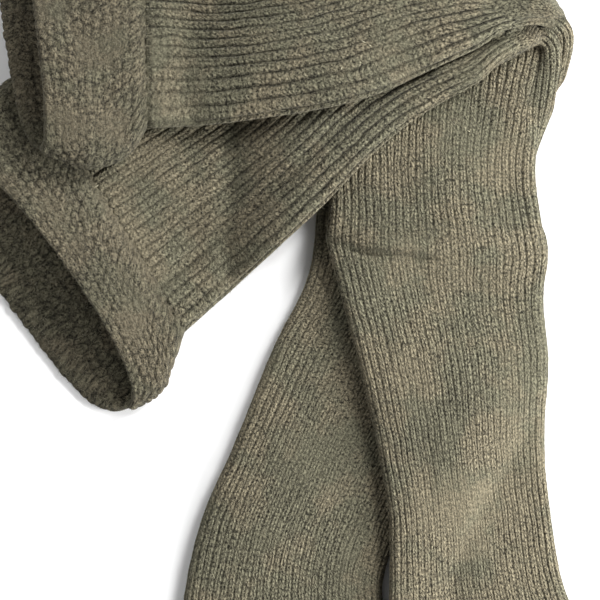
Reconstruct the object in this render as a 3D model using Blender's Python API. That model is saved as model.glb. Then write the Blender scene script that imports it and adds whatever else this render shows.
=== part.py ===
"""A pair of ribbed, knitted over-the-knee socks, laid together on a table and folded over once.

Both socks lie flat with their feet at the front. The outer sock lies underneath, the inner one
on top of it. Near the knee the pair is folded over to the left, so the thigh of the inner sock
comes back down over its own calf, and the thigh of the outer sock covers that again. Each thigh
ends in a thick turned-back cuff with an open mouth.

A sock is a tube of cloth with a real wall, closed at the toe. It is worked out from a table with
one row for each place along it, in millimetres on the table top: x to the right, y to the back.
Each layer rests on a height map of what already lies under it, so nothing cuts through.
"""

import bpy
import numpy as np

MM = 0.001

# ---- driving dimensions, in millimetres ----
RIBS = 60                # knitted ribs round each sock
RIB_DEPTH = 1.0          # groove to crest
LEG_WALL = 2.8           # one layer of the chunky rib
CUFF_WALL = 5.4          # the cuff is turned back, so it is two layers thick
CUFF_START = 3.2         # its thickness at the rounded edge that meets the leg
RIDGE_PITCH = 6.5        # from one knitted ridge of the cuff to the next
RIDGE_DEPTH = 1.1
CUFF_PLAIN = 4.0         # from the leg to the cuff's first ridge
LIP_ROUND = 0.7          # how far from each face of the cuff its lip begins to round over
SEAM_GAP = 0.45          # between a leg and its cuff, along the cloth
LAYER_GAP = 0.9          # between a sock and what it rests on
GAP_FROM = 3.0           # that gap opens over the first millimetres above the table
DRAPE_RADIUS = 65.0      # the tightest curve in which the thick knit falls over an edge
HOLLOW = 4.0             # the most height left inside a flattened leg

# Ribs and ridges fade out round the sides, because the underside is pressed flat. Each pair is
# the upward part of the outward normal where they begin and where they are full.
RIB_FADE = (-0.95, -0.3)
RIDGE_FADE = (-0.6, 0.2)
UPPER_LIP_POWER = 2      # the upper lip is set back along a round curve, the lower one along
LOWER_LIP_POWER = 6      # a squarer one

# A crease runs along the inner sock's thigh, a few ribs in from its front edge.
CREASE_RIB = 5.5
CREASE_RIBS_WIDE = 0.8
CREASE_DEPTH = 1.4

# ---- tables: one row for each place along a sock, from its toe to its mouth ----
# across is the direction from the left side of the cloth to its right side, in degrees.
# thick is the height of the rounded sides, puff is how much the middle stands above them,
# lift raises the cloth off what it lies on, and steps is the sections up to the next row.
COLUMNS = ("place", "x", "y", "across", "width", "thick", "puff", "lift", "steps")

OUTER_LOWER = (
    ("toe tip", 122.4, -376.0, 40, 24, 4.5, 0.0, 0.0, 1),
    ("toe curve", 119.2, -372.3, 40, 50, 6.8, 0.4, 0.0, 1),
    ("toe side", 112.7, -364.6, 40, 72, 8.2, 1.0, 0.0, 1),
    ("toe base", 103.0, -353.0, 40, 84, 8.8, 1.5, 0.0, 1),
    ("ball", 69.6, -313.3, 40, 90, 8.8, 1.5, 0.0, 1),
    ("arch", 37.5, -275.0, 40, 91, 8.8, 1.5, 0.0, 1),
    ("sole of heel", 21.0, -256.0, 34, 100, 8.8, 1.8, 0.0, 1),
    ("heel", 6.0, -236.0, 24, 110, 8.8, 2.2, 0.0, 1),
    ("back of heel", -3.5, -211.0, 12, 111, 8.8, 2.2, 0.0, 1),
    ("above heel", -6.5, -184.0, 0, 104, 8.8, 1.8, 0.0, 1),
    ("low ankle", -7.0, -157.0, -8, 102, 8.8, 1.5, 0.0, 1),
    ("ankle", -4.0, -126.0, -20, 95, 8.8, 1.5, 0.0, 1),
    ("low calf", 10.0, -90.0, -22, 92, 8.8, 1.5, 0.0, 2),
    ("calf", 36.0, -37.0, -12, 102, 8.8, 1.5, 0.0, 2),
    ("bend below knee", 64.8, 21.0, 0, 116.5, 8.8, 1.5, 0.0, 2),
    ("knee", 62.7, 65.5, -10, 105.5, 8.8, 1.0, 0.0, 2),
    ("above knee", 75.0, 117.5, -20, 112, 8.8, 0.5, 0.0, 2),
    ("fold", 92.2, 163.4, -41.4, 117.5, 8.8, 0.0, 0.0, 0),
)
OUTER_UPPER = (
    ("fold", 84.4, 173.9, -41.4, 117.5, 8.8, 0.0, 1.5, 2),
    ("past the fold", 68.5, 174.5, -46, 112.5, 8.8, 0.5, 0.9, 2),
    ("over the knee", 52.7, 173.7, -60, 121, 8.8, 1.0, 0.5, 3),
    ("low thigh", 9.2, 158.2, -70, 127, 8.8, 1.5, 0.0, 3),
    ("thigh", -36.5, 152.5, -80, 130, 8.8, 1.8, 0.0, 3),
    ("cuff seam", -75.5, 156.5, -90, 143, 9.2, 2.5, 2.6, 0),
)
INNER_LOWER = (
    ("toe tip", 246.7, -333.0, 50, 24, 4.5, 0.0, 0.0, 1),
    ("toe curve", 242.5, -329.4, 50, 50, 6.8, 0.4, 0.0, 1),
    ("toe side", 234.8, -323.0, 50, 72, 8.2, 1.0, 0.0, 1),
    ("toe base", 223.3, -313.4, 50, 84, 8.8, 1.5, 0.0, 1),
    ("ball", 185.8, -281.9, 50, 89, 8.8, 1.5, 0.0, 1),
    ("arch", 149.0, -251.0, 48, 91, 8.8, 1.5, 0.0, 1),
    ("sole of heel", 124.0, -232.5, 36, 102, 8.8, 1.8, 0.0, 1),
    ("heel", 102.5, -211.0, 22, 112, 8.8, 2.2, 0.0, 1),
    ("back of heel", 96.5, -190.0, 10, 110, 8.8, 2.2, 0.0, 1),
    ("above heel", 92.5, -170.5, 5, 99, 8.8, 1.8, 0.0, 1),
    ("low ankle", 88.5, -149.0, 2, 88.5, 8.8, 1.5, 0.0, 2),
    ("ankle", 84.0, -104.0, 2, 80, 8.8, 1.5, 0.0, 1),
    ("low calf", 80.5, -76.0, 1.5, 82, 8.8, 1.5, 0.0, 3),
    ("calf", 76.0, -31.0, -1.5, 94, 8.8, 1.5, 0.0, 3),
    ("below slack fold", 69.0, 10.0, -4, 103, 8.8, 1.8, 0.0, 1),
    ("slack fold", 68.0, 25.0, -4, 109, 8.8, 6.0, 0.0, 1),
    ("above slack fold", 67.0, 40.0, -3, 105, 8.8, 3.0, 0.0, 1),
    ("knee", 65.5, 64.0, -3, 101.5, 8.8, 1.0, 0.0, 2),
    ("above knee", 68.5, 107.0, -13, 107, 8.8, 0.5, 0.0, 2),
    ("fold", 76.2, 148.9, -29.2, 112.4, 8.8, 0.0, 0.0, 0),
)
INNER_UPPER = (
    ("fold", 71.0, 151.8, -29.2, 112.4, 8.8, 0.0, 2.5, 3),
    ("over the knee", 23.0, 135.0, -47, 115, 8.8, 1.2, 0.5, 4),
    ("thigh", -37.0, 88.5, -50, 127, 8.8, 1.8, 0.0, 4),
    ("cuff seam", -96.5, 48.5, -59, 150, 9.2, 2.5, 2.6, 0),
)
# The cuffs carry on from the cuff seams. shear sets the upper lip back from the lower one.
CUFF_COLUMNS = ("place", "x", "y", "across", "width", "thick", "puff", "lift", "shear")
OUTER_CUFF = (
    ("cuff seam", -75.5, 156.5, -90, 143, 9.2, 2.5, 2.6, 0),
    ("shoulder", -86.5, 152.8, -88, 157, 9.4, 5.0, 2.6, 2),
    ("band", -104.0, 150.5, -86, 167, 9.6, 8.0, 2.6, 6),
    ("lip", -141.5, 153.8, -80, 162, 9.6, 11.0, 2.6, 18),
)
INNER_CUFF = (
    ("cuff seam", -96.5, 48.5, -59, 150, 9.2, 2.5, 2.6, 0),
    ("shoulder", -102.5, 40.9, -60, 157, 9.4, 5.0, 2.6, 5),
    ("band", -113.0, 28.2, -57, 165, 9.6, 9.0, 2.6, 14),
    ("lip", -135.0, 13.3, -53, 167, 9.6, 14.0, 2.6, 36),
)

# ---- the fold at the knee ----
FOLD_SECTIONS = 7            # between the lower and the upper cloth
FOLD_REACH = 7.4             # how far the middle of the cloth swings out past the fold line
FOLD_REACH_AT_SIDES = 4.0
FOLD_PINCH = 0.05            # how much the sides are pulled together in the turn

# ---- mesh density ----
SIDE_RIBS_BELOW = 1.0        # ribs carried round each side past the face that shows
UNDERSIDE_POINTS = 8
INNER_POINTS = 14
CUFF_POINTS = 36

# ---- the height map of the table top ----
CELL = 2.0
MAP_LOW = np.array((-260.0, -430.0))
MAP_HIGH = np.array((300.0, 290.0))


# ------------------------------------------------------------------ rows and curves
def columns(table, names=COLUMNS):
    """The table as one array for each named column, and the distance of each row along the sock."""
    found = {name: np.array([row[i] for row in table], float) for i, name in enumerate(names) if i}
    steps = np.hypot(np.diff(found["x"]), np.diff(found["y"]))
    found["along"] = np.concatenate(([0.0], np.cumsum(steps)))
    return found


def smooth(knots, values, at):
    """A cubic through the rows: each row's slope is the average of its neighbours'."""
    slopes = np.gradient(values, knots)
    i = np.clip(np.searchsorted(knots, at, side="right") - 1, 0, len(knots) - 2)
    span = knots[i + 1] - knots[i]
    u = (at - knots[i]) / span
    start = (1 + 2 * u) * (1 - u) ** 2 * values[i] + u * (1 - u) ** 2 * span * slopes[i]
    end = u * u * (3 - 2 * u) * values[i + 1] + u * u * (u - 1) * span * slopes[i + 1]
    return start + end


def section_places(rows):
    """The distances along the sock at which it has a section, from the steps column."""
    places = [rows["along"][0]]
    for a, b, steps in zip(rows["along"], rows["along"][1:], rows["steps"]):
        places += list(np.linspace(a, b, int(steps) + 1)[1:])
    return np.array(places)


def smoothstep(low, high, value):
    u = np.clip((value - low) / (high - low), 0.0, 1.0)
    return u * u * (3 - 2 * u)


# ------------------------------------------------------------------ the section of a flattened tube
def stadium(q, half_width, half_thick):
    """Points of a flat tube's section: two level faces joined by half circles.

    q runs from 0 at the left side over the upper face to 0.5 at the right side, and back under
    the lower face. It gives the sideways place, the height and the outward normal."""
    quarter = 0.5 * np.pi * half_thick
    level = 2 * (half_width - half_thick)
    half = 2 * quarter + level
    face = np.where(q < 0.5, 1.0, -1.0)
    run = np.where(q < 0.5, q, 1.0 - q) * 2 * half
    left = np.clip(run / half_thick, 0, np.pi / 2)
    right = np.clip((half - run) / half_thick, 0, np.pi / 2)
    sideways = -half_width + half_thick * (1 - np.cos(left)) + np.clip(run - quarter, 0, level)
    sideways += half_thick * np.cos(right)
    rise = np.minimum(np.sin(left), np.sin(right))
    return sideways, face * half_thick * rise, np.cos(right) - np.cos(left), face * rise


def crease(q, up):
    """Depth of the crease along the inner sock's thigh, 0 to 1, at each place round the tube."""
    from_side = (q - 0.5) * RIBS if up < 0 else (0.5 - q) * RIBS
    return np.exp(-(((from_side - CREASE_RIB) / CREASE_RIBS_WIDE) ** 2))


def ring(rows, at, q, up, inset=0.0, ribs=1.0, creased=0.0, most_puff=np.inf):
    """Sideways place and height of the section's points, (sections, points) each.

    up is 1 where the upper face of the cloth is on top and -1 where it has been folded under."""
    half_width = 0.5 * smooth(rows["along"], rows["width"], at)[:, None] - inset
    half_thick = 0.5 * smooth(rows["along"], rows["thick"], at)[:, None] - inset
    puff = np.minimum(smooth(rows["along"], rows["puff"], at)[:, None], most_puff)
    q = q[None, :]
    sideways, height, out_side, out_up = stadium(q, half_width, half_thick)
    on_top = np.clip(up * out_up, 0, 1)
    height = height + up * puff * on_top * (1 - np.clip(sideways / half_width, -1, 1) ** 2)
    height = height - up * on_top * creased * CREASE_DEPTH * crease(q, up)
    fade = smoothstep(*RIB_FADE, up * out_up)
    swell = ribs * 0.5 * RIB_DEPTH * np.cos(2 * np.pi * RIBS * q) * fade
    return sideways + swell * out_side, height + swell * out_up


# ------------------------------------------------------------------ what lies on the table
class Pile:
    """A height map of the cloth that has been laid down so far."""

    def __init__(self):
        across, deep = np.ceil((MAP_HIGH - MAP_LOW) / CELL).astype(int)
        self.height = np.zeros((across, deep))

    def cells(self, xy):
        """The places counted in cells from the map's corner, held inside the map."""
        last = np.array(self.height.shape) - 1.001
        return tuple(np.moveaxis(np.clip((xy - MAP_LOW) / CELL, 0, last), -1, 0))

    def lay(self, points):
        """Raises the map to these points."""
        i, j = (np.round(c).astype(int).ravel() for c in self.cells(points[..., :2]))
        np.maximum.at(self.height, (i, j), points[..., 2].ravel())

    def rest(self):
        """The surface that thick cloth takes when it is laid on the pile: each point of the pile holds
        up a shallow dome of cloth, and the domes' upper envelope is softened."""
        soft = self.height.copy()
        reach = int(np.sqrt(2 * DRAPE_RADIUS * soft.max()) / CELL) + 1
        for axis in (0, 1):
            best = soft.copy()
            for shift in range(-reach, reach + 1):
                fall = (shift * CELL) ** 2 / (2 * DRAPE_RADIUS)
                best = np.maximum(best, np.roll(soft, shift, axis) - fall)
            soft = best
        for axis in (0, 1):
            soft = (np.roll(soft, 1, axis) + np.roll(soft, -1, axis) + 2 * soft) / 4
        return soft + LAYER_GAP * np.clip(soft / GAP_FROM, 0, 1)

    def read(self, surface, xy):
        """The surface's height at these places, between its cells."""
        x, y = self.cells(xy)
        i, j = x.astype(int), y.astype(int)
        u, v = x - i, y - j
        low = surface[i, j] * (1 - v) + surface[i, j + 1] * v
        high = surface[i + 1, j] * (1 - v) + surface[i + 1, j + 1] * v
        return low * (1 - u) + high * u


# ------------------------------------------------------------------ from section to table top
def plan(rows, at, sideways):
    """Places on the table top, (sections, points, 2), of points this far from the sock's middle line."""
    centre = np.stack([smooth(rows["along"], rows[k], at) for k in "xy"], -1)
    turn = np.radians(smooth(rows["along"], rows["across"], at))
    across = np.stack([np.cos(turn), np.sin(turn)], -1)
    return centre[:, None, :] + across[:, None, :] * sideways[..., None]


def level(pile, surface, rows, at, xy):
    """Height of the middle of the cloth over the table, resting on the surface."""
    lift = np.maximum(smooth(rows["along"], rows["lift"], at), 0)[:, None]
    half_thick = 0.5 * smooth(rows["along"], rows["thick"], at)[:, None]
    return pile.read(surface, xy) + lift + half_thick


def stretch_points(pile, surface, rows, at, q, up, **shape):
    """Points of a stretch of sock that lies on the surface, (sections, points, 3)."""
    sideways, height = ring(rows, at, q, up, **shape)
    xy = plan(rows, at, sideways)
    z = level(pile, surface, rows, at, xy) + up * height
    return np.concatenate([xy, z[..., None]], -1)


def fold_points(pile, surfaces, lower, upper, turns, q, **shape):
    """Points of the cloth between the lower and the upper stretch, turning over the fold line.

    A point goes round half an ellipse: it swings out past the fold line and rises from the
    lower cloth's level to the upper cloth's. What lies deeper in the fold turns more tightly. The
    ribs run at a slant to the fold line, so meanwhile they drift along it."""
    ends = [np.full(len(turns), distance) for distance in (lower["along"][-1], upper["along"][0])]
    turns = turns[:, None]
    sideways, height = ring(lower, ends[0], q, -1, **shape)
    drift = np.array([upper[k][0] - lower[k][-1] for k in "xy"])
    xy = plan(lower, ends[0], sideways * (1 - FOLD_PINCH * np.sin(turns)))
    xy = xy + drift * (turns / np.pi)[..., None]
    low = level(pile, surfaces[0], lower, ends[0], xy)
    high = level(pile, surfaces[1], upper, ends[1], xy)
    share = np.clip(np.abs(sideways) / (0.5 * lower["width"][-1]), 0, 1)
    swing = FOLD_REACH_AT_SIDES + (FOLD_REACH - FOLD_REACH_AT_SIDES) * np.sqrt(1 - share**3)
    turn = np.radians(lower["across"][-1])
    away = np.array((-np.sin(turn), np.cos(turn)))
    out = (swing - height) * np.sin(turns)
    z = 0.5 * (low + high) - (0.5 * (high - low) - height) * np.cos(turns)
    return np.concatenate([xy + away * out[..., None], z[..., None]], -1)


# ------------------------------------------------------------------ skins
def outer_places(up):
    """Places round the section, with a crest and a groove for each rib of the face that shows and
    a few points under it."""
    extra = SIDE_RIBS_BELOW / RIBS
    first = 0.0 if up > 0 else 0.5
    shown = np.arange(0, 2 * RIBS) / (2.0 * RIBS)
    from_first = (shown - first + extra + 1e-9) % 1.0
    shown = shown[from_first <= 0.5 + 2 * extra + 2e-9]
    under_start = first + 0.5 + extra
    under = under_start + (0.5 - 2 * extra) * np.arange(1, UNDERSIDE_POINTS) / UNDERSIDE_POINTS
    return np.sort(np.concatenate([shown, under % 1.0]))


def zip_rings(a_start, a, b_start, b):
    """Triangles between two rings whose points lie at the places a and b round the section."""
    faces = []
    i = j = 0
    while i < len(a) or j < len(b):
        next_a = a[i + 1] if i + 1 < len(a) else 1.0 + a[(i + 1) % len(a)]
        next_b = b[j + 1] if j + 1 < len(b) else 1.0 + b[(j + 1) % len(b)]
        here_a, here_b = a_start + i % len(a), b_start + j % len(b)
        if j >= len(b) or (i < len(a) and next_a <= next_b):
            faces.append((here_a, a_start + (i + 1) % len(a), here_b))
            i += 1
        else:
            faces.append((here_a, b_start + (j + 1) % len(b), here_b))
            j += 1
    return faces


def skin(name, rings, colour, closed):
    """One closed mesh through the rings, in order. A ring is its points and their places round the
    section. The first and the last are capped, or joined to each other if closed is set."""
    points = np.concatenate([p for p, _ in rings])
    starts = np.concatenate(([0], np.cumsum([len(p) for p, _ in rings])))
    faces = []
    pairs = list(range(len(rings) - 1)) + ([-1] if closed else [])
    for k in pairs:
        start = starts[k if k >= 0 else len(rings) - 1]
        faces += zip_rings(start, rings[k][1], starts[k + 1], rings[k + 1][1])
    if not closed:
        middles = np.array([rings[0][0].mean(0), rings[-1][0].mean(0)])
        for middle, k in ((len(points), 0), (len(points) + 1, len(rings) - 1)):
            count = len(rings[k][1])
            for i in range(count):
                one, two = starts[k] + i, starts[k] + (i + 1) % count
                faces.append((middle, two, one) if k == 0 else (middle, one, two))
        points = np.concatenate([points, middles])
    mesh = bpy.data.meshes.new(name)
    mesh.from_pydata((points * MM).tolist(), [], [tuple(int(v) for v in f) for f in faces])
    mesh.materials.append(material(name, colour))
    mesh.shade_smooth()
    piece = bpy.data.objects.new(name, mesh)
    bpy.context.scene.collection.objects.link(piece)
    return piece


def material(name, colour):
    made = bpy.data.materials.new(name)
    made.use_nodes = True
    shader = made.node_tree.nodes["Principled BSDF"]
    shader.inputs["Base Color"].default_value = (*colour, 1.0)
    shader.inputs["Roughness"].default_value = 0.95
    shader.inputs["Metallic"].default_value = 0.0
    return made


# ------------------------------------------------------------------ socks and cuffs
class Sock:
    """One sock: its lower stretch, its fold, its upper stretch and its cuff."""

    def __init__(self, name, lower, upper, cuff, creased):
        self.name = name
        self.lower, self.upper = columns(lower), columns(upper)
        self.cuff = columns(cuff, CUFF_COLUMNS)
        self.creased = creased

    def lay_lower(self, pile):
        """Rests the foot and calf on the pile."""
        self.lower_rest = pile.rest() if pile.height.any() else pile.height.copy()
        dense = np.linspace(0, 1, 400, endpoint=False)
        at = np.linspace(0, self.lower["along"][-1], 700)
        pile.lay(stretch_points(pile, self.lower_rest, self.lower, at, dense, 1))

    def lay_upper(self, pile):
        """Folds the thigh and the cuff over on to the pile."""
        self.upper_rest = pile.rest()
        dense = np.linspace(0, 1, 500, endpoint=False)
        at = np.linspace(0, self.upper["along"][-1], 400)
        turns = np.linspace(0, np.pi, 30)
        pile.lay(stretch_points(pile, self.upper_rest, self.upper, at, dense, -1))
        pile.lay(self.fold(pile, turns, dense))
        reach = np.linspace(0, self.cuff["along"][-1], 100)
        wall = np.full(100, CUFF_WALL)
        ridge = np.full(100, RIDGE_DEPTH / 2)
        pile.lay(self.cuff_points(pile, reach, wall, ridge, dense))

    def fold(self, pile, turns, q, **shape):
        rests = (self.lower_rest, self.upper_rest)
        return fold_points(pile, rests, self.lower, self.upper, turns, q, **shape)

    def cuff_points(self, pile, at, thickness, ridge, q):
        """Points of the cuff at these distances from its seam and this far outside its lining.

        ridge is what a knitted ridge adds, which the flattened underside does without."""
        rows = self.cuff
        points = []
        for distance, outside, raised in zip(at, thickness, ridge):
            here = np.array([distance])
            row = {key: smooth(rows["along"], values, here)[0] for key, values in rows.items()}
            _, _, _, face = stadium(q, row["width"] / 2, row["thick"] / 2)
            inset = LEG_WALL - outside - raised * smoothstep(*RIDGE_FADE, -face)
            sideways, height = ring(rows, here, q, -1, inset=inset, ribs=0.0)
            xy = plan(rows, here, sideways)
            turn = np.radians(row["across"])
            ahead = np.array((np.sin(turn), -np.cos(turn)))
            share = np.clip(np.abs(sideways) / (0.5 * row["width"]), 0, 1)
            tip = np.clip(height / (0.5 * row["thick"]), -1, 1)
            tip = tip * np.sqrt(1 - share ** np.where(tip < 0, UPPER_LIP_POWER, LOWER_LIP_POWER))
            sheared = xy + ahead * (0.5 * row["shear"] * tip)[..., None]
            z = level(pile, self.upper_rest, rows, here, xy) - height
            points.append(np.concatenate([sheared, z[..., None]], -1)[0])
        return np.array(points)

    def leg_rings(self, pile):
        """Outer rings from the toe to the cuff seam, then inner rings back to the toe."""
        faces = {up: outer_places(up) for up in (1, -1)}
        turns = np.pi * np.arange(1, FOLD_SECTIONS + 1) / (FOLD_SECTIONS + 1)
        places = {1: section_places(self.lower), -1: section_places(self.upper)}
        crease_run = smoothstep(0, 40, places[-1])[:, None] * self.creased
        outer = [(p, faces[1]) for p in
                 stretch_points(pile, self.lower_rest, self.lower, places[1], faces[1], 1)]
        outer += [(p, faces[-1]) for p in self.fold(pile, turns, faces[-1])]
        outer += [(p, faces[-1]) for p in
                  stretch_points(pile, self.upper_rest, self.upper, places[-1], faces[-1], -1,
                                 creased=crease_run)]
        q = np.arange(INNER_POINTS) / INNER_POINTS
        plain = {"inset": LEG_WALL, "ribs": 0.0}
        most_puff = HOLLOW - (self.lower["thick"].max() - 2 * LEG_WALL)
        opening = np.full((len(places[-1]), 1), most_puff)
        opening[0] = np.inf
        toe_places = places[1][2:]
        inner = list(stretch_points(pile, self.upper_rest, self.upper, places[-1][::-1], q, -1,
                                    most_puff=opening, **plain))
        inner += list(self.fold(pile, turns[::-1], q, **plain))
        inner += list(stretch_points(pile, self.lower_rest, self.lower, toe_places[::-1], q, 1,
                                     most_puff=most_puff, **plain))
        return outer + [(p, q) for p in inner]

    def cuff_rings(self, pile):
        """Rings round the cuff's wall: out along its ridged face, over the lip and back inside."""
        length = self.cuff["along"][-1]
        half_wall = CUFF_WALL / 2
        ridges = round((length - self.cuff["shear"][-1] / 2) / RIDGE_PITCH)
        crests = np.linspace(CUFF_PLAIN, length - half_wall, 2 * ridges + 1)
        swell = np.where(np.arange(len(crests)) % 2, -0.5, 0.5) * RIDGE_DEPTH
        bend = length - LIP_ROUND
        inside = np.linspace(length - half_wall, SEAM_GAP, 4)
        at = [SEAM_GAP, *crests, bend, length, bend, *inside]
        wall = np.full(len(crests), CUFF_WALL)
        out = [CUFF_START, *wall, CUFF_WALL - LIP_ROUND, half_wall, LIP_ROUND, *np.zeros(len(inside))]
        ridge = [0.0, *swell, *np.zeros(3 + len(inside))]
        q = np.arange(CUFF_POINTS) / CUFF_POINTS
        return [(p, q) for p in self.cuff_points(pile, at, out, ridge, q)]


# ------------------------------------------------------------------ the pair
def clear_scene():
    for piece in list(bpy.data.objects):
        bpy.data.objects.remove(piece, do_unlink=True)


def centre(pieces):
    """Moves the pair so that the middle of its box is over the origin and it stands on z = 0."""
    corners = np.array([v.co for piece in pieces for v in piece.data.vertices])
    low, high = corners.min(0), corners.max(0)
    shift = np.array([-(low[0] + high[0]) / 2, -(low[1] + high[1]) / 2, -low[2]])
    for piece in pieces:
        for v in piece.data.vertices:
            v.co = np.array(v.co) + shift
    print("shift mm", (shift / MM).round(3), "size mm", ((high - low) / MM).round(1))


def main():
    clear_scene()
    pile = Pile()
    outer = Sock("outer", OUTER_LOWER, OUTER_UPPER, OUTER_CUFF, creased=0.0)
    inner = Sock("inner", INNER_LOWER, INNER_UPPER, INNER_CUFF, creased=1.0)
    outer.lay_lower(pile)
    inner.lay_lower(pile)
    inner.lay_upper(pile)
    outer.lay_upper(pile)
    olive = (0.115, 0.105, 0.070)
    cuff_olive = (0.105, 0.092, 0.062)
    pieces = []
    for sock in (outer, inner):
        pieces.append(skin(sock.name + "_sock", sock.leg_rings(pile), olive, closed=False))
        pieces.append(skin(sock.name + "_cuff", sock.cuff_rings(pile), cuff_olive, closed=True))
    centre(pieces)
    for piece in pieces:
        print(piece.name, len(piece.data.polygons), "triangles")


main()
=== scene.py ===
# %% [markdown]
# # A pair of ribbed over-the-knee socks, folded over once
#
# Two thick woollen socks lie on each other on a table. Near the knee the pair is folded over to the
# left, so four stretches of knitting lie in a pile, and two turned-back cuffs show their mouths.
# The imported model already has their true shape. This lesson gives them their knitting: ribs with
# round crests and narrow grooves, knobbly cuffs, creases, a heather yarn and a fuzzy nap.
#
# The frame is loaded first, and its box is kept, because nothing here may change the size.

# %% The frame
from functools import partial

import bpy
import numpy as np
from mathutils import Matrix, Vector


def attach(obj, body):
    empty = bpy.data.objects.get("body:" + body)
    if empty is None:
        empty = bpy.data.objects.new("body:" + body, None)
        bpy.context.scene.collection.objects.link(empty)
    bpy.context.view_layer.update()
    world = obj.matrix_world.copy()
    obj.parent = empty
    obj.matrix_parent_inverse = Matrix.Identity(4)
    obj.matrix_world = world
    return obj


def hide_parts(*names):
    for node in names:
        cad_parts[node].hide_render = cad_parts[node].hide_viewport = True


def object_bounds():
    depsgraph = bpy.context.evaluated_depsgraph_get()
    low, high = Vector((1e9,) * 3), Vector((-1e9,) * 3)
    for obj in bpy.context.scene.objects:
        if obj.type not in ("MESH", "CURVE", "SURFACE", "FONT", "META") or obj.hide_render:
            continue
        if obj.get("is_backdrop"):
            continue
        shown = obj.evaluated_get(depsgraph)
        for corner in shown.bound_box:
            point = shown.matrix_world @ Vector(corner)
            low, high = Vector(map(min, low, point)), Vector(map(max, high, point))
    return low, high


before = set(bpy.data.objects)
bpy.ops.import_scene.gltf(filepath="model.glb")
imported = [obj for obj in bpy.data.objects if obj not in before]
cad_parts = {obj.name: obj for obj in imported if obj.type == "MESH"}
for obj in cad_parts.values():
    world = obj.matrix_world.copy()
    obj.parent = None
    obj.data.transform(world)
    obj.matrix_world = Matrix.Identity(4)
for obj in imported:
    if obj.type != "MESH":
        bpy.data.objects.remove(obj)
cad_low, cad_high = (np.array(corner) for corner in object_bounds())
MM = 0.001
print("the solids measure", ((cad_high - cad_low) / MM).round(1), "mm")

# %% [markdown]
# ## The socks as tables
#
# A sock is a tube, so it is enough to say, for a row of places along it, where its middle lies, which
# way it faces, how wide it is and how much it swells. Everything between the rows is a smooth curve.
# The same tables shaped the solids, so the finer cloth made here lies exactly where they are.
# All sizes are millimetres on the table top: x to the right, y to the back.

# %% Sizes and tables
RIBS = 60                # knitted ribs round each sock
CREST = 0.5              # how far a rib's crest stands above the middle of the wall's outer face
LEG_WALL = 2.8           # one layer of the chunky rib
CUFF_WALL = 5.4          # the cuff is turned back, so it is two layers thick
CUFF_START = 3.2         # its thickness at the rounded edge that meets the leg
CUFF_PLAIN = 4.0         # from the leg to where the cuff's knobs have their full height
RIDGE_DEPTH = 1.1        # of the cuff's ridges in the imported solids
SEAM_GAP = 0.45          # between a leg and its cuff, along the cloth
LAYER_GAP = 0.9          # between a sock and what it rests on
GAP_FROM = 3.0           # that gap opens over the first millimetres above the table
DRAPE_RADIUS = 65.0      # the tightest curve in which the thick knit falls over an edge
HOLLOW = 4.0             # the most height left inside a flattened leg
STITCH = 2.5             # length of one knitted stitch along a rib

# A row that ends early has zeros in its last columns.
COLUMNS = ("place", "x", "y", "across", "width", "thick", "puff", "lift")
OUTER_LOWER = (
    ("toe tip", 122.4, -376, 40, 24, 4.5),
    ("toe curve", 119.2, -372.3, 40, 50, 6.8, 0.4),
    ("toe side", 112.7, -364.6, 40, 72, 8.2, 1),
    ("toe base", 103, -353, 40, 84, 8.8, 1.5),
    ("ball", 69.6, -313.3, 40, 90, 8.8, 1.5),
    ("arch", 37.5, -275, 40, 91, 8.8, 1.5),
    ("sole of heel", 21, -256, 34, 100, 8.8, 1.8),
    ("heel", 6, -236, 24, 110, 8.8, 2.2),
    ("back of heel", -3.5, -211, 12, 111, 8.8, 2.2),
    ("above heel", -6.5, -184, 0, 104, 8.8, 1.8),
    ("low ankle", -7, -157, -8, 102, 8.8, 1.5),
    ("ankle", -4, -126, -20, 95, 8.8, 1.5),
    ("low calf", 10, -90, -22, 92, 8.8, 1.5),
    ("calf", 36, -37, -12, 102, 8.8, 1.5),
    ("bend below knee", 64.8, 21, 0, 116.5, 8.8, 1.5),
    ("knee", 62.7, 65.5, -10, 105.5, 8.8, 1),
    ("above knee", 75, 117.5, -20, 112, 8.8, 0.5),
    ("fold", 92.2, 163.4, -41.4, 117.5, 8.8),
)
OUTER_UPPER = (
    ("fold", 84.4, 173.9, -41.4, 117.5, 8.8, 0, 1.5),
    ("past the fold", 68.5, 174.5, -46, 112.5, 8.8, 0.5, 0.9),
    ("over the knee", 52.7, 173.7, -60, 121, 8.8, 1, 0.5),
    ("low thigh", 9.2, 158.2, -70, 127, 8.8, 1.5),
    ("thigh", -36.5, 152.5, -80, 130, 8.8, 1.8),
    ("cuff seam", -75.5, 156.5, -90, 143, 9.2, 2.5, 2.6),
)
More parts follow.
